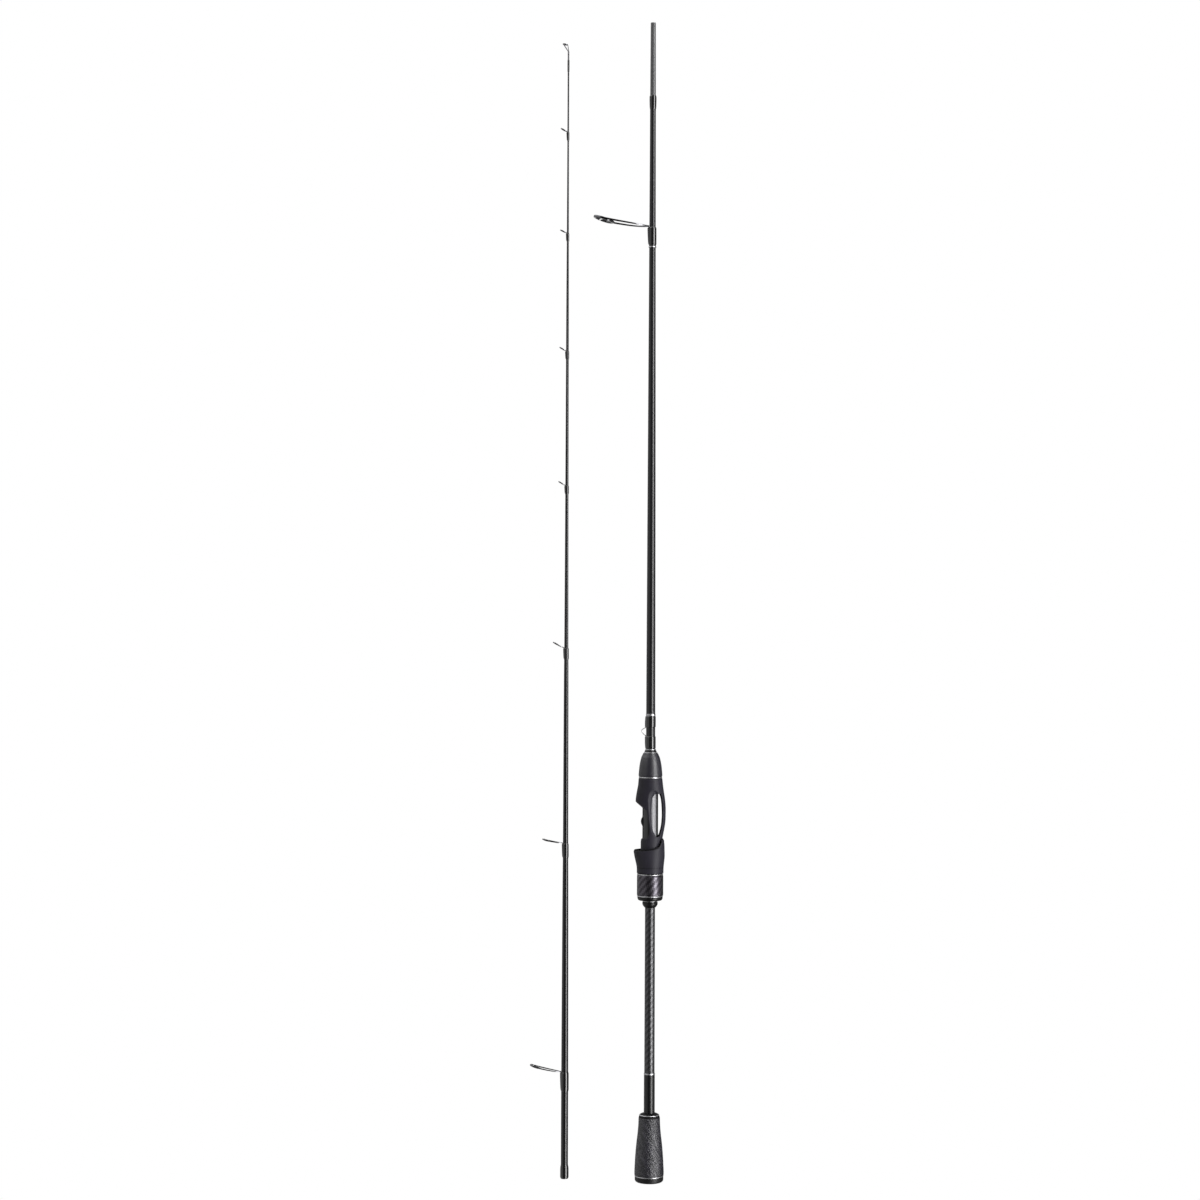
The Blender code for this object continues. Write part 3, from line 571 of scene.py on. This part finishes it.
def rear_handle():
    """From the collar behind the seat down to the butt cap."""
    tube_bore = radius_at(BUTT_BLANK, 0.1042) + GAP / 2
    tube = [(r, z) for z, r in straight((0.2716, 0.00479), (0.1042, 0.00493), 24)]
    piece(turned("woven_tube", sleeve(tube, tube_bore), 64), BUTT, TUBE_CARBON, "woven_carbon", "rear_tube")
    collar = smooth([
        (0.0069, 0.2682), (0.0073, 0.2677), (0.0073, 0.2658), (0.0067, 0.2645), (0.0060, 0.2635),
        (0.0052, 0.2626),
    ], 4)
    piece(turned("tail_collar", sleeve(collar, 0.0050), 72), BUTT, GLOSS_BLACK, "black_plastic", "rear_collar")
    piece(turned("tail_collar_ring", band(0.0072, 0.0050, 0.2684, 0.2690), 72), BUTT, BRIGHT, "bright_ring")

    bore = BUTT_BLANK[0][1] + GAP
    ring = turned("tube_end_band", band(0.00530, bore, 0.1026, 0.1040, 0.0005), 64)
    piece(ring, BUTT, BRIGHT, "bright_ring", "rear_tube_ring")
    lower = [(r, z) for z, r in straight((0.1024, 0.00520), (0.0642, 0.00526), 12)]
    piece(turned("lower_winding", sleeve(lower, bore), 64), BUTT, LOWER_GLOSS, "gloss_thread_epoxy", "lower_wrap")
    check = smooth([
        (0.0060, 0.0657), (0.0077, 0.0652), (0.0088, 0.0644), (0.0092, 0.0639), (0.0095, 0.0633),
        (0.0099, 0.0626), (0.0100, 0.0618),
    ], 3)
    piece(turned("butt_grip_check", sleeve(check, 0.0054), 96), BUTT, LINER_BLACK, "black_plastic", "grip_check")
    bead = [(0.0091 + 0.0005 * math.cos(angle), 0.0640 + 0.0005 * math.sin(angle)) for angle in circle(12)]
    piece(turned("butt_grip_check_ring", bead, 96), BUTT, BRIGHT, "bright_ring")
    grip = smooth([
        (0.0100, 0.0616), (0.01027, 0.0610), (0.01030, 0.0587), (0.01048, 0.0539), (0.01088, 0.0491),
        (0.01135, 0.0444), (0.01195, 0.0396), (0.01246, 0.0348), (0.01292, 0.0300), (0.01328, 0.0252),
        (0.01358, 0.0204), (0.01382, 0.0156), (0.01402, 0.0108), (0.01407, 0.0080), (0.01400, 0.0067),
    ], 4)
    piece(turned("butt_grip", sleeve(grip, bore), 128), BUTT, GRIP, "grip_skin", "rear_grip")
    ring = turned("butt_grip_band", band(0.01388, bore, 0.0054, 0.0064, 0.0004), 96)
    piece(ring, BUTT, BRIGHT, "bright_ring", "grip_ring")
    rim = [(0.0134, 0.0052), (0.0137, 0.0049)]
    for angle in (math.radians(11.25 * i) for i in range(9)):
        rim.append((0.0113 + 0.0024 * math.cos(angle), 0.0024 - 0.0024 * math.sin(angle)))
    cap = [(bore, 0.0052), *rim, (0.0, 0.0), (0.0, 0.0037), (bore, 0.0037)]
    piece(turned("butt_cap_rubber", cap, 96), BUTT, CAP_SKIN, "butt_rubber", "butt_cap")


# ---------------------------------------------------------------- wraps with a foot under them


def around(sides):
    """Angles round a winding, closer together at its ridge, which is towards -X."""
    return [angle + 0.4 * math.sin(angle) for angle in circle(sides)]


def wound(name, rows, low, high, blank, sides, body, node, x=0.0):
    """Close a winding's rows against its blank, and show it."""
    inner = radius_at(blank, high) - GAP
    rows += [round_row(inner, z, around(sides), x) for z in (low, high)]
    piece(grid(name, rows, joined=True), body, THREAD, "gloss_thread_epoxy", node)


def winding(name, body, blank, x, low, high, thread, foot_depth, half_foot, node):
    """Thread over a guide's foot: round on the blank, with a ridge towards -X that dies away down the foot."""
    rows = []
    sides, stations = 60, 28
    lead = min(0.0009, (high - low) * 0.10)
    tail = min(0.0022, (high - low) * 0.22)
    for k in range(stations + 1):
        t = k / stations
        z = high + (low - high) * t
        rise = min(1.0, (high - z) / lead) ** 0.5
        fall = min(1.0, (z - low) / tail)
        swell = rise * math.sin(fall * math.pi / 2)
        radius = radius_at(blank, z) + THREAD_LEAST + thread * swell
        ridge = foot_depth * (0.35 + 0.65 * rise) * max(0.0, 1.0 - t * 1.08) ** 0.45
        row = []
        for angle in around(sides):
            off = (angle - math.pi) * radius / (half_foot * 1.4)
            reach = radius + ridge * math.exp(-abs(off) ** 3)
            row.append((x + reach * math.cos(angle), reach * math.sin(angle), z))
        rows.append(row)
    wound(name, rows, low, high, blank, sides, body, node, x)


# ---------------------------------------------------------------- line guides


def holder_outline(radius, thickness, height, edge):
    """The band on edge that holds a guide's ring."""
    half, inner = height / 2, radius - thickness
    return eased([(radius, half), (radius, -half), (inner, -half), (inner, half)], edge)


def ring_outline(outer, width, half, across=1.0, along=1.0):
    """A ring's rounded section. Powers below 1 make it squarer."""
    return [
        (outer - width / 2 + width / 2 * squared(math.cos(angle), across), half * squared(math.sin(angle), along))
        for angle in circle(12)
    ]


def guide(name, body, blank, x, ring_x, ring_z, ring_radius, tilt, base_z, foot_length, wrap_low, sides):
    """A pressed two-leg frame that holds a polished ring, with its foot under a winding."""
    # small guides are stouter for their size, so each measure is a base and a share of the ring's radius
    band_t = 0.00025 + 0.065 * ring_radius
    height = 0.00060 + 0.140 * ring_radius
    foot = 0.00040 + 0.070 * ring_radius
    insert = 0.00035 + 0.090 * ring_radius
    thread = 0.00022 + 0.042 * ring_radius
    foot_low = base_z - foot_length
    foot_x = x - (radius_at(blank, foot_low) + 0.00005)
    ring_x += x

    holder = holder_outline(ring_radius, band_t, height, band_t * 0.45)
    parts = [turned("holder", holder, sides, ring_x, ring_z, tilt)]

    middle = ring_radius - band_t / 2
    start = Vector((ring_x, 0.0, ring_z))
    end = Vector((foot_x - foot / 2, 0.0, base_z))
    half_leg = height * (0.47 - 7.5 * ring_radius)
    steps = [i / 24 for i in range(25)]
    # the legs keep the ring's width for most of their way, then close in on the foot
    sections = [(band_t * 0.5, half_leg * (1.2 - 0.45 * t)) for t in steps]
    for side in (-1, 1):
        path = [
            Vector((
                start.x + (end.x - start.x) * t,
                side * (middle + (foot * 0.8 - middle) * t**4.2),
                end.z + (start.z - end.z) * (1.0 - t) ** 1.3,
            ))
            for t in steps
        ]
        parts.append(swept("leg", path, sections))

    # (x, z, half width, half depth) down the foot
    foot_sections = (
        (foot_x - foot * 0.5, base_z + height * 0.45, foot * 0.7, foot * 0.4),
        (foot_x - foot * 0.5, base_z, foot, foot * 0.45),
        (foot_x - foot * 0.45, base_z - foot_length / 3, foot * 0.8, foot * 0.3),
        (foot_x - foot * 0.22, foot_low, foot * 0.3, foot * 0.1),
    )
    rows = [
        [(px + half_d * math.cos(angle), half_w * math.sin(angle), pz) for angle in circle(12)]
        for px, pz, half_w, half_d in foot_sections
    ]
    parts.append(grid("foot", rows, capped=True))
    piece(join(name + "_pressed_frame", parts), body, FRAME_METAL, "dark_frame_metal", name + "_frame")

    section = ring_outline(ring_radius - band_t - GAP, insert, height * 0.62, 0.7, 0.8)
    ring = turned(name + "_ceramic", section, sides, ring_x, ring_z, tilt)
    piece(ring, body, RING_CERAMIC, "grey_ceramic", name + "_ring")

    wrap_high = base_z - height / 2 + GAP
    winding(name + "_winding", body, blank, x, wrap_low, wrap_high, thread, foot * 1.05, foot, name + "_wrap")


# name, ring centre (x, z), ring radius, ring tilt, leg base, foot length, lower end of the wrap
TIP_GUIDES = (
    ("guide_1", -0.0287, 0.1099, 0.00485, 20.0, 0.1050, 0.0150, 0.0860),
    ("guide_2", -0.0190, 0.3267, 0.00345, 18.0, 0.3240, 0.0115, 0.3095),
    ("guide_3", -0.0099, 0.5148, 0.00330, 29.0, 0.5112, 0.0090, 0.4995),
    ("guide_4", -0.0060, 0.6691, 0.00258, 31.0, 0.6668, 0.0072, 0.6580),
    ("guide_5", -0.0056, 0.7978, 0.00235, 29.0, 0.7956, 0.0070, 0.7870),
    ("guide_6", -0.0054, 0.9104, 0.00220, 24.0, 0.9086, 0.0070, 0.9000),
    ("guide_7", -0.0052, 1.0076, 0.00220, 27.0, 1.0056, 0.0068, 0.9965),
)


def line_guides():
    guide("stripper", BUTT, BUTT_BLANK, 0.0, -0.0466, 0.9216, 0.0103, math.radians(17.6), 0.9152, 0.0175, 0.8962, 72)
    for name, ring_x, ring_z, ring_r, tilt, *lower in TIP_GUIDES:
        guide(name, TIP, TIP_BLANK, TIP_X, ring_x, ring_z, ring_r, math.radians(tilt), *lower, 40)


def tip_top():
    top_z, ring_r, tilt = 1.0890, 0.00245, math.radians(10.0)
    band_t, height, insert = 0.00041, 0.00094, 0.00057
    tube_low, tube_high, tube_r = 1.0742, 1.0826, 0.00076
    x = TIP_X - 0.00315
    tube = eased([(0.0, tube_high), (tube_r, tube_high), (tube_r, tube_low), (0.0, tube_low)], 0.0002)
    parts = [
        turned("tube", [(max(r, 0.0), z) for r, z in tube], 32, TIP_X, hollow=False),
        turned("holder", holder_outline(ring_r, band_t, height, 0.00018), 48, x, top_z, tilt),
    ]
    # two legs from the ring's sides and one from its near edge, all down to the top of the tube
    legs = (
        ((x - 0.0013, -0.0019, top_z - 0.0001), (TIP_X - 0.00025, -0.0003, 1.0822)),
        ((x - 0.0013, 0.0019, top_z - 0.0001), (TIP_X - 0.00025, 0.0003, 1.0822)),
        ((x + 0.0024, 0.0, top_z - 0.0004), (TIP_X + 0.0002, 0.0, 1.0822)),
    )
    for start, end in legs:
        path = [Vector(start).lerp(Vector(end), t / 6) for t in range(7)]
        parts.append(swept("leg", path, [(0.00034, 0.00034)] * len(path)))
    piece(join("tip_top_loop", parts), TIP, FRAME_METAL, "dark_frame_metal", "tip_top_frame")
    section = ring_outline(ring_r - band_t - GAP, insert, 0.00056)
    piece(turned("tip_top_ceramic", section, 48, x, top_z, tilt), TIP, RING_CERAMIC, "grey_ceramic", "tip_top_ring")
    wrap = smooth([(0.00088, 1.0742), (0.00098, 1.0735), (0.00099, 1.0690), (0.00098, 1.0640), (0.00090, 1.0627)], 3)
    bore = radius_at(TIP_BLANK, 1.062) + 0.00005
    tip_wrap = turned("tip_top_winding", sleeve(wrap, bore, 0.00005), 32, TIP_X)
    piece(tip_wrap, TIP, THREAD, "gloss_thread_epoxy", "tip_top_wrap")


# ---------------------------------------------------------------- hook keeper


def keeper_wire():
    wire_r = 0.00036
    foot_x = -(radius_at(BUTT_BLANK, 0.4150) + GAP + wire_r)
    loop = smooth([
        (foot_x, 0.4425), (foot_x, 0.4352), (-0.00545, 0.4346), (-0.0070, 0.4338), (-0.0083, 0.4327),
        (-0.0086, 0.4316), (-0.0082, 0.4304), (-0.0070, 0.4289), (-0.00545, 0.4276), (foot_x, 0.4268),
        (foot_x, 0.4185),
    ], 5)
    section = round_row(wire_r, 0.0, circle(16))
    rows = []
    for i, (px, pz) in enumerate(loop):
        (ax, az), (bx, bz) = loop[max(i - 1, 0)], loop[min(i + 1, len(loop) - 1)]
        length = math.hypot(bx - ax, bz - az)
        nx, nz = (bz - az) / length, -(bx - ax) / length
        rows.append([(px + nx * out, y, pz + nz * out) for out, y, _ in section])
    piece(grid("keeper_loop", rows, capped=True), BUTT, WIRE_METAL, "bright_ring", "keeper_wire")


def keeper_winding(name, low, high, foot_from_top, node):
    """A plain winding with a ridge over the wire, which comes out of one end."""
    rows = []
    sides, stations, taper = 64, 24, 0.0007
    for k in range(stations + 1):
        t = k / stations
        z = high + (low - high) * t
        ends = min(1.0, (high - z) / taper, (z - low) / taper)
        radius = radius_at(BUTT_BLANK, z) + THREAD_LEAST + 0.00045 * math.sin(max(ends, 0.0) * math.pi / 2)
        along = 1.0 - t if foot_from_top else t
        ridge = 0.00068 * min(1.0, (0.35 + along) * 1.2)
        row = []
        for angle in around(sides):
            off = (angle - math.pi) * radius / 0.0012
            reach = radius + ridge * math.exp(-off * off)
            row.append((reach * math.cos(angle), reach * math.sin(angle), z))
        rows.append(row)
    wound(name, rows, low, high, BUTT_BLANK, sides, BUTT, node)


def hook_keeper():
    keeper_wire()
    keeper_winding("keeper_front_winding", 0.4352, 0.4459, False, "keeper_front_wrap")
    keeper_winding("keeper_rear_winding", 0.4146, 0.4266, True, "keeper_rear_wrap")


# ---------------------------------------------------------------- reel seat

CORE_R = 0.00745
SEAT_TOP, SEAT_END = 0.3864, 0.2738
BARREL_R = 0.0092
NUT_CORE_R = 0.0111
# height, reach towards -X, reach towards +X, half width along Y
SEAT_SECTIONS = (
    (SEAT_TOP, 0.0114, 0.0114, 0.0114), (0.3797, 0.0119, 0.0121, 0.0114), (0.3739, 0.0130, 0.0129, 0.0113),
    (0.3682, 0.0139, 0.0138, 0.0110), (0.3640, 0.0142, 0.0143, 0.0107), (0.3586, 0.0142, 0.0147, 0.0104),
    (0.3528, 0.0138, 0.01475, 0.0101), (0.3452, 0.0128, 0.0145, 0.0098), (0.3394, 0.0115, 0.0137, 0.0096),
    (0.3337, 0.0100, 0.0126, 0.0094), (0.3289, 0.0092, 0.0117, 0.0093), (0.3250, 0.0092, 0.0107, 0.0092),
    (0.3205, 0.0092, 0.0097, 0.0092), (0.3164, 0.0092, 0.0092, 0.0092), (0.3120, 0.0092, 0.0092, 0.0092),
)
HOOD_SECTIONS = (
    (0.3300, 0.0160, 0.0127, 0.0112), (0.3262, 0.0160, 0.0133, 0.0114), (0.3222, 0.0160, 0.0137, 0.0116),
    (0.3180, 0.0160, 0.0138, 0.0119), (0.3155, 0.0158, 0.0139, 0.0121), (0.3110, 0.0150, 0.0139, 0.0124),
    (0.3059, 0.0138, 0.0134, 0.0127), (0.3012, 0.0129, 0.0129, 0.0128), (0.2956, 0.0128, 0.0128, 0.0128),
)


def egg(height, rear, front, half_width, inset):
    """A section that reaches further one way along X than the other."""
    row = []
    for angle in circle(96):
        reach = (front if math.cos(angle) > 0 else rear) - inset
        row.append((reach * math.cos(angle), (half_width - inset) * math.sin(angle), height))
    return row


def lofted(name, sections, inset=0.0):
    return grid(name, [egg(*section, inset) for section in sections], capped=True)


def foot_pocket(name, floor_x, stations):
    """A cutter for one end of a reel's foot, flat at floor_x, from (height, reach, half width) stations."""
    rows = []
    for height, reach, half_width in stations:
        end = math.acos(floor_x / reach)
        arc = [-end + 2 * end * i / 24 for i in range(25)]
        rows.append([(-reach * math.cos(a), half_width * math.sin(a), height) for a in arc])
    return grid(name, rows, capped=True)


def bore_cutter(name, radius, low, high):
    return turned(name, [(0.0, high), (radius, high), (radius, low), (0.0, low)], 96, hollow=False)


# (x, z)
WINDOW = smooth([
    (0.0068, 0.3720), (0.0045, 0.3715), (0.0025, 0.3693), (0.0014, 0.3654), (0.0011, 0.3597), (0.0010, 0.3527),
    (0.0012, 0.3459), (0.0020, 0.3385), (0.0035, 0.3342), (0.0060, 0.3305), (0.0074, 0.3315), (0.0088, 0.3352),
    (0.0101, 0.3407), (0.0108, 0.3477), (0.0109, 0.3547), (0.0104, 0.3627), (0.0095, 0.3682), (0.0083, 0.3713),
], 4, closed=True)
BED = [
    (-0.02, 0.3640), (-0.0142, 0.3640),
    *smooth([
        (-0.0142, 0.3640), (-0.0120, 0.3622), (-0.0095, 0.3602), (-0.0072, 0.3583), (-0.0046, 0.3568),
        (-0.0030, 0.3530), (-0.0018, 0.3450), (-0.0010, 0.3370), (-0.0018, 0.3315), (-0.0045, 0.3290),
        (-0.0085, 0.3282), (-0.0093, 0.3240),
    ], 4)[1:],
    (-0.02, 0.3240),
]


def reel_seat():
    shell = lofted("seat_moulding", smooth(SEAT_SECTIONS, 5))
    chamfer = [(0.0082, WINDOW), (0.0094, spread(WINDOW, 0.0013)), (0.0140, spread(WINDOW, 0.0105))]
    # away from the middle the window's outline moves towards +X, which rounds the inside of the bow
    shifts = ((0.0030, 0.0), (0.0044, 0.0004), (0.0056, 0.0011), (0.0066, 0.0021), (0.0110, 0.0060))
    bow = [(y, [(x + shift, z) for x, z in WINDOW]) for y, shift in shifts]
    cutters = [
        stepped("window", chamfer), stepped("bow", bow), prism("bed", BED, 0.02),
        foot_pocket("pocket", 0.0072, ((0.3770, 0.0109, 0.0090), (0.3700, 0.0123, 0.0092), (0.3560, 0.0129, 0.0092))),
        bore_cutter("bore", CORE_R + 0.0005, 0.26, 0.40),
    ]
    piece(carved(shell, cutters, passes=8), BUTT, SEAT_SKIN, "soft_touch_seat", "seat_shell")

    # the plain barrel with the thread that the lock nut runs on
    pitch, low, high = 0.0020, SEAT_END, 0.3125
    rows = []
    sides, steps = 72, int((high - low) / pitch * 16)
    for k in range(steps + 1):
        z = high + (low - high) * k / steps
        row = []
        for i, angle in enumerate(circle(sides)):
            phase = (z / pitch - i / sides) % 1.0
            crest = max(0.0, 1.0 - abs(phase - 0.5) * 2.6)
            radius = BARREL_R - 0.00055 + 0.00050 * min(1.0, crest * 1.6)
            row.append((radius * math.cos(angle), radius * math.sin(angle), z))
        rows.append(row)
    rows += [round_row(0.0080, z, circle(sides)) for z in (low, high)]
    piece(grid("seat_thread", rows, joined=True), BUTT, GLOSS_BLACK, "soft_touch_seat")

    core = turned("seat_core_tube", band(CORE_R, 0.0059, SEAT_END, SEAT_TOP - 0.0003), 96)
    piece(core, BUTT, CORE_SKIN, "black_plastic", "seat_core")

    pad = eased([
        (-0.00755, 0.3752), (-0.0069, 0.3752), (-0.0069, 0.3288), (-0.00755, 0.3288), (-0.00755, 0.3408),
        (-0.0086, 0.3426), (-0.0092, 0.3448), (-0.0088, 0.3470), (-0.00755, 0.3492),
    ], 0.0011)
    piece(carved(prism("foot_pad_rubber", pad, 0.0029), [], 0.0003, 2), BUTT, PAD_SKIN, "butt_rubber", "foot_pad")

    arc = [math.radians(4 + 40 * i / 16) for i in range(17)]
    face = [(CORE_R + 0.0003, a) for a in arc] + [(CORE_R, a) for a in reversed(arc)]
    for side, label in ((-1, "left"), (1, "right")):
        heights = (0.3722, 0.3700, 0.3600, 0.3450, 0.3330, 0.3290)
        rows = [[(r * math.sin(a), side * r * math.cos(a), z) for r, a in face] for z in heights]
        plate = grid(f"window_plate_{label}", rows, capped=True)
        piece(plate, BUTT, PLATE_METAL, "satin_plate", f"seat_plate_{label}")


def sliding_hood():
    lip_z = 0.3181
    # (x, rise above lip_z) along the hood's swept upper edge
    sweep = smooth([
        (-0.0300, 0.0000), (-0.0120, 0.0000), (-0.0040, 0.0006), (0.0011, 0.0013), (0.0051, 0.0023),
        (0.0079, 0.0034), (0.0095, 0.0055), (0.0109, 0.0091), (0.0116, 0.0106), (0.0300, 0.0107),
    ], 3)
    sections = smooth(HOOD_SECTIONS, 5)
    room = (
        (0.3340, 0.0094, 0.0129, 0.0098), (0.3289, 0.0094, 0.0120, 0.0097), (0.3250, 0.0094, 0.0110, 0.0094),
        (0.3205, 0.0094, 0.0100, 0.0094), (0.3150, 0.0094, 0.0095, 0.0094),
    )
    pocket = ((0.3400, 0.0146, 0.0098), (0.3180, 0.0143, 0.0098), (0.3110, 0.0133, 0.0102), (0.3060, 0.0116, 0.0100))

    def made(name, inset, drop, extra):
        """The hood, inset all round, with its upper edge dropped."""
        edge = [(x, lip_z + rise - drop) for x, rise in sweep] + [(0.03, 0.35), (-0.03, 0.35)]
        cutters = [
            bore_cutter("bore", BARREL_R + 0.0004, 0.28, 0.34), lofted("room", room), prism("edge", edge, 0.02),
            foot_pocket("pocket", 0.0088, pocket), *extra,
        ]
        return carved(lofted(name, sections, inset), cutters, 0.00032, 5)

    piece(made("hood_moulding", 0.0, 0.0011, []), HOOD, SEAT_SKIN, "soft_touch_seat", "sliding_hood")
    # a hard liner that stands a little above the soft skin; its near-black edge is partly a real liner, partly
    # painted shade for the gap under the hood's edge
    low = [bore_cutter("low", 0.02, 0.28, 0.3100)]
    piece(made("hood_liner", 0.00045, 0.0, low), HOOD, LINER_BLACK, "black_plastic")
    seam = turned("hood_seam", [(0.01288, 0.3013), (0.01291, 0.3011), (0.01288, 0.3009), (0.0125, 0.3011)], 96)
    piece(seam, HOOD, LINER_BLACK, "black_plastic")


def lock_nut():
    bore = BARREL_R + 0.0003
    core = eased([
        (NUT_CORE_R, 0.2950), (NUT_CORE_R, 0.2730), (0.01215, 0.2730), (0.0121, 0.2718), (0.0118, 0.2706),
        (0.0110, 0.2696), (0.0079, 0.2696), (0.0079, 0.2718), (bore, 0.2728), (bore, 0.2950),
    ], 0.0004)
    piece(turned("nut_body", core, 96), NUT, GLOSS_BLACK, "black_plastic", "nut_core")
    inside = NUT_CORE_R + GAP
    ring = turned("nut_upper_band", band(0.01255, inside, 0.2940, 0.2951, 0.0005), 96)
    piece(ring, NUT, BRIGHT, "bright_ring", "nut_front_ring")
    woven = [
        (0.01235, 0.2937), (0.01255, 0.2933), (0.01235, 0.2930), *straight((0.01262, 0.2927), (0.01262, 0.2752), 20),
        (0.01250, 0.2746), (inside, 0.2746), (inside, 0.2937),
    ]
    piece(turned("nut_woven_sleeve", woven, 128), NUT, NUT_CARBON, "woven_carbon", "nut_sleeve")
    ring = turned("nut_lower_band", band(0.0124, inside, 0.2732, 0.2743, 0.0005), 96)
    piece(ring, NUT, BRIGHT, "bright_ring", "nut_rear_ring")


# ---------------------------------------------------------------- floor, light and camera


def studio():
    """White surroundings to look at, and a soft studio for what falls on the rod and shows in its gloss."""
    scene = bpy.context.scene
    scene.view_settings.view_transform = "Standard"
    world = bpy.data.worlds.new("studio")
    scene.world = world
    world.use_nodes = True
    tree = world.node_tree
    nodes, links = tree.nodes, tree.links
    nodes.clear()

    def calc(operation, *values):
        return math_node(tree, operation, *values)

    def ramp(value, start, end):
        """0 to 1 as an angle goes from start to end, in degrees."""
        node = nodes.new("ShaderNodeMapRange")
        node.interpolation_type = "SMOOTHSTEP"
        links.new(value, node.inputs[0])
        node.inputs[1].default_value, node.inputs[2].default_value = math.radians(start), math.radians(end)
        return node.outputs[0]

    split = nodes.new("ShaderNodeSeparateXYZ")
    links.new(nodes.new("ShaderNodeTexCoord").outputs["Generated"], split.inputs[0])
    azimuth = calc("ARCTAN2", split.outputs[0], calc("MULTIPLY", split.outputs[1], -1.0))
    elevation = calc("ARCSINE", split.outputs[2])
    # a broad card on one side, brighter higher up, a narrow strong strip, a faint side light and one behind
    raised = calc("MULTIPLY_ADD", ramp(elevation, 12, 38), 2.0, 0.80)
    card = calc("MULTIPLY", calc("MULTIPLY", ramp(azimuth, -28, -44), ramp(azimuth, -160, -125)), raised)
    strip = calc("MULTIPLY", calc("MULTIPLY", ramp(azimuth, 35, 42), ramp(azimuth, 63, 56)), 15.0)
    side = calc("MULTIPLY", calc("MULTIPLY", ramp(azimuth, 78, 92), ramp(azimuth, 140, 112)), 0.35)
    behind = calc("MULTIPLY", ramp(calc("ABSOLUTE", azimuth), 156, 172), 1.1)
    ring = calc("ADD", calc("ADD", card, strip), calc("ADD", side, behind))
    level = calc("MULTIPLY", ramp(calc("ABSOLUTE", elevation), 66, 40), ring)
    top = calc("MULTIPLY", ramp(elevation, 40, 62), 1.3)
    total = calc("ADD", calc("ADD", level, top), 0.02)

    def background(strength):
        node = nodes.new("ShaderNodeBackground")
        feed(tree, node.inputs["Strength"], strength)
        node.inputs["Color"].default_value = (1.0, 1.0, 1.0, 1.0)
        return node.outputs[0]

    mix = nodes.new("ShaderNodeMixShader")
    links.new(nodes.new("ShaderNodeLightPath").outputs["Is Camera Ray"], mix.inputs[0])
    links.new(background(total), mix.inputs[1])
    links.new(background(1.0), mix.inputs[2])
    links.new(mix.outputs[0], nodes.new("ShaderNodeOutputWorld").inputs["Surface"])

    shape = bmesh.new()
    bmesh.ops.create_grid(shape, x_segments=1, y_segments=1, size=9.0)
    mesh = bpy.data.meshes.new("floor")
    shape.to_mesh(mesh)
    shape.free()
    floor = bpy.data.objects.new("floor", mesh)
    floor.location.z = -0.0004
    scene.collection.objects.link(floor)
    paper = Surface("white_paper", (0.0, 0.0, 0.0), 1.0, specular=0.0)
    paper.set("Emission Color", (1.0, 1.0, 1.0, 1.0))
    paper.set("Emission Strength", 1.0)
    floor.data.materials.append(paper.material)
    floor.visible_glossy = False
    floor.visible_diffuse = False
    floor.visible_shadow = False


def camera():
    """Level, in front of the sections, with a slight roll."""
    data = bpy.data.cameras.new("camera")
    data.lens = 75.0
    data.sensor_width = 36.0
    data.clip_start = 0.05
    obj = bpy.data.objects.new("camera", data)
    bpy.context.scene.collection.objects.link(obj)
    obj.location = (-0.0490, -2.3950, 0.5569)
    obj.rotation_mode = "QUATERNION"
    ahead = Vector((0.0, 1.0, 0.0))
    obj.rotation_quaternion = Quaternion(ahead, math.radians(-0.215)) @ ahead.to_track_quat("-Z", "Y")
    bpy.context.scene.camera = obj


blanks()
foregrip()
rear_handle()
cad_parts["seat_arbor"].data.materials.clear()
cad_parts["seat_arbor"].data.materials.append(ARBOR_FOAM)
line_guides()
tip_top()
hook_keeper()
reel_seat()
sliding_hood()
lock_nut()
studio()
camera()
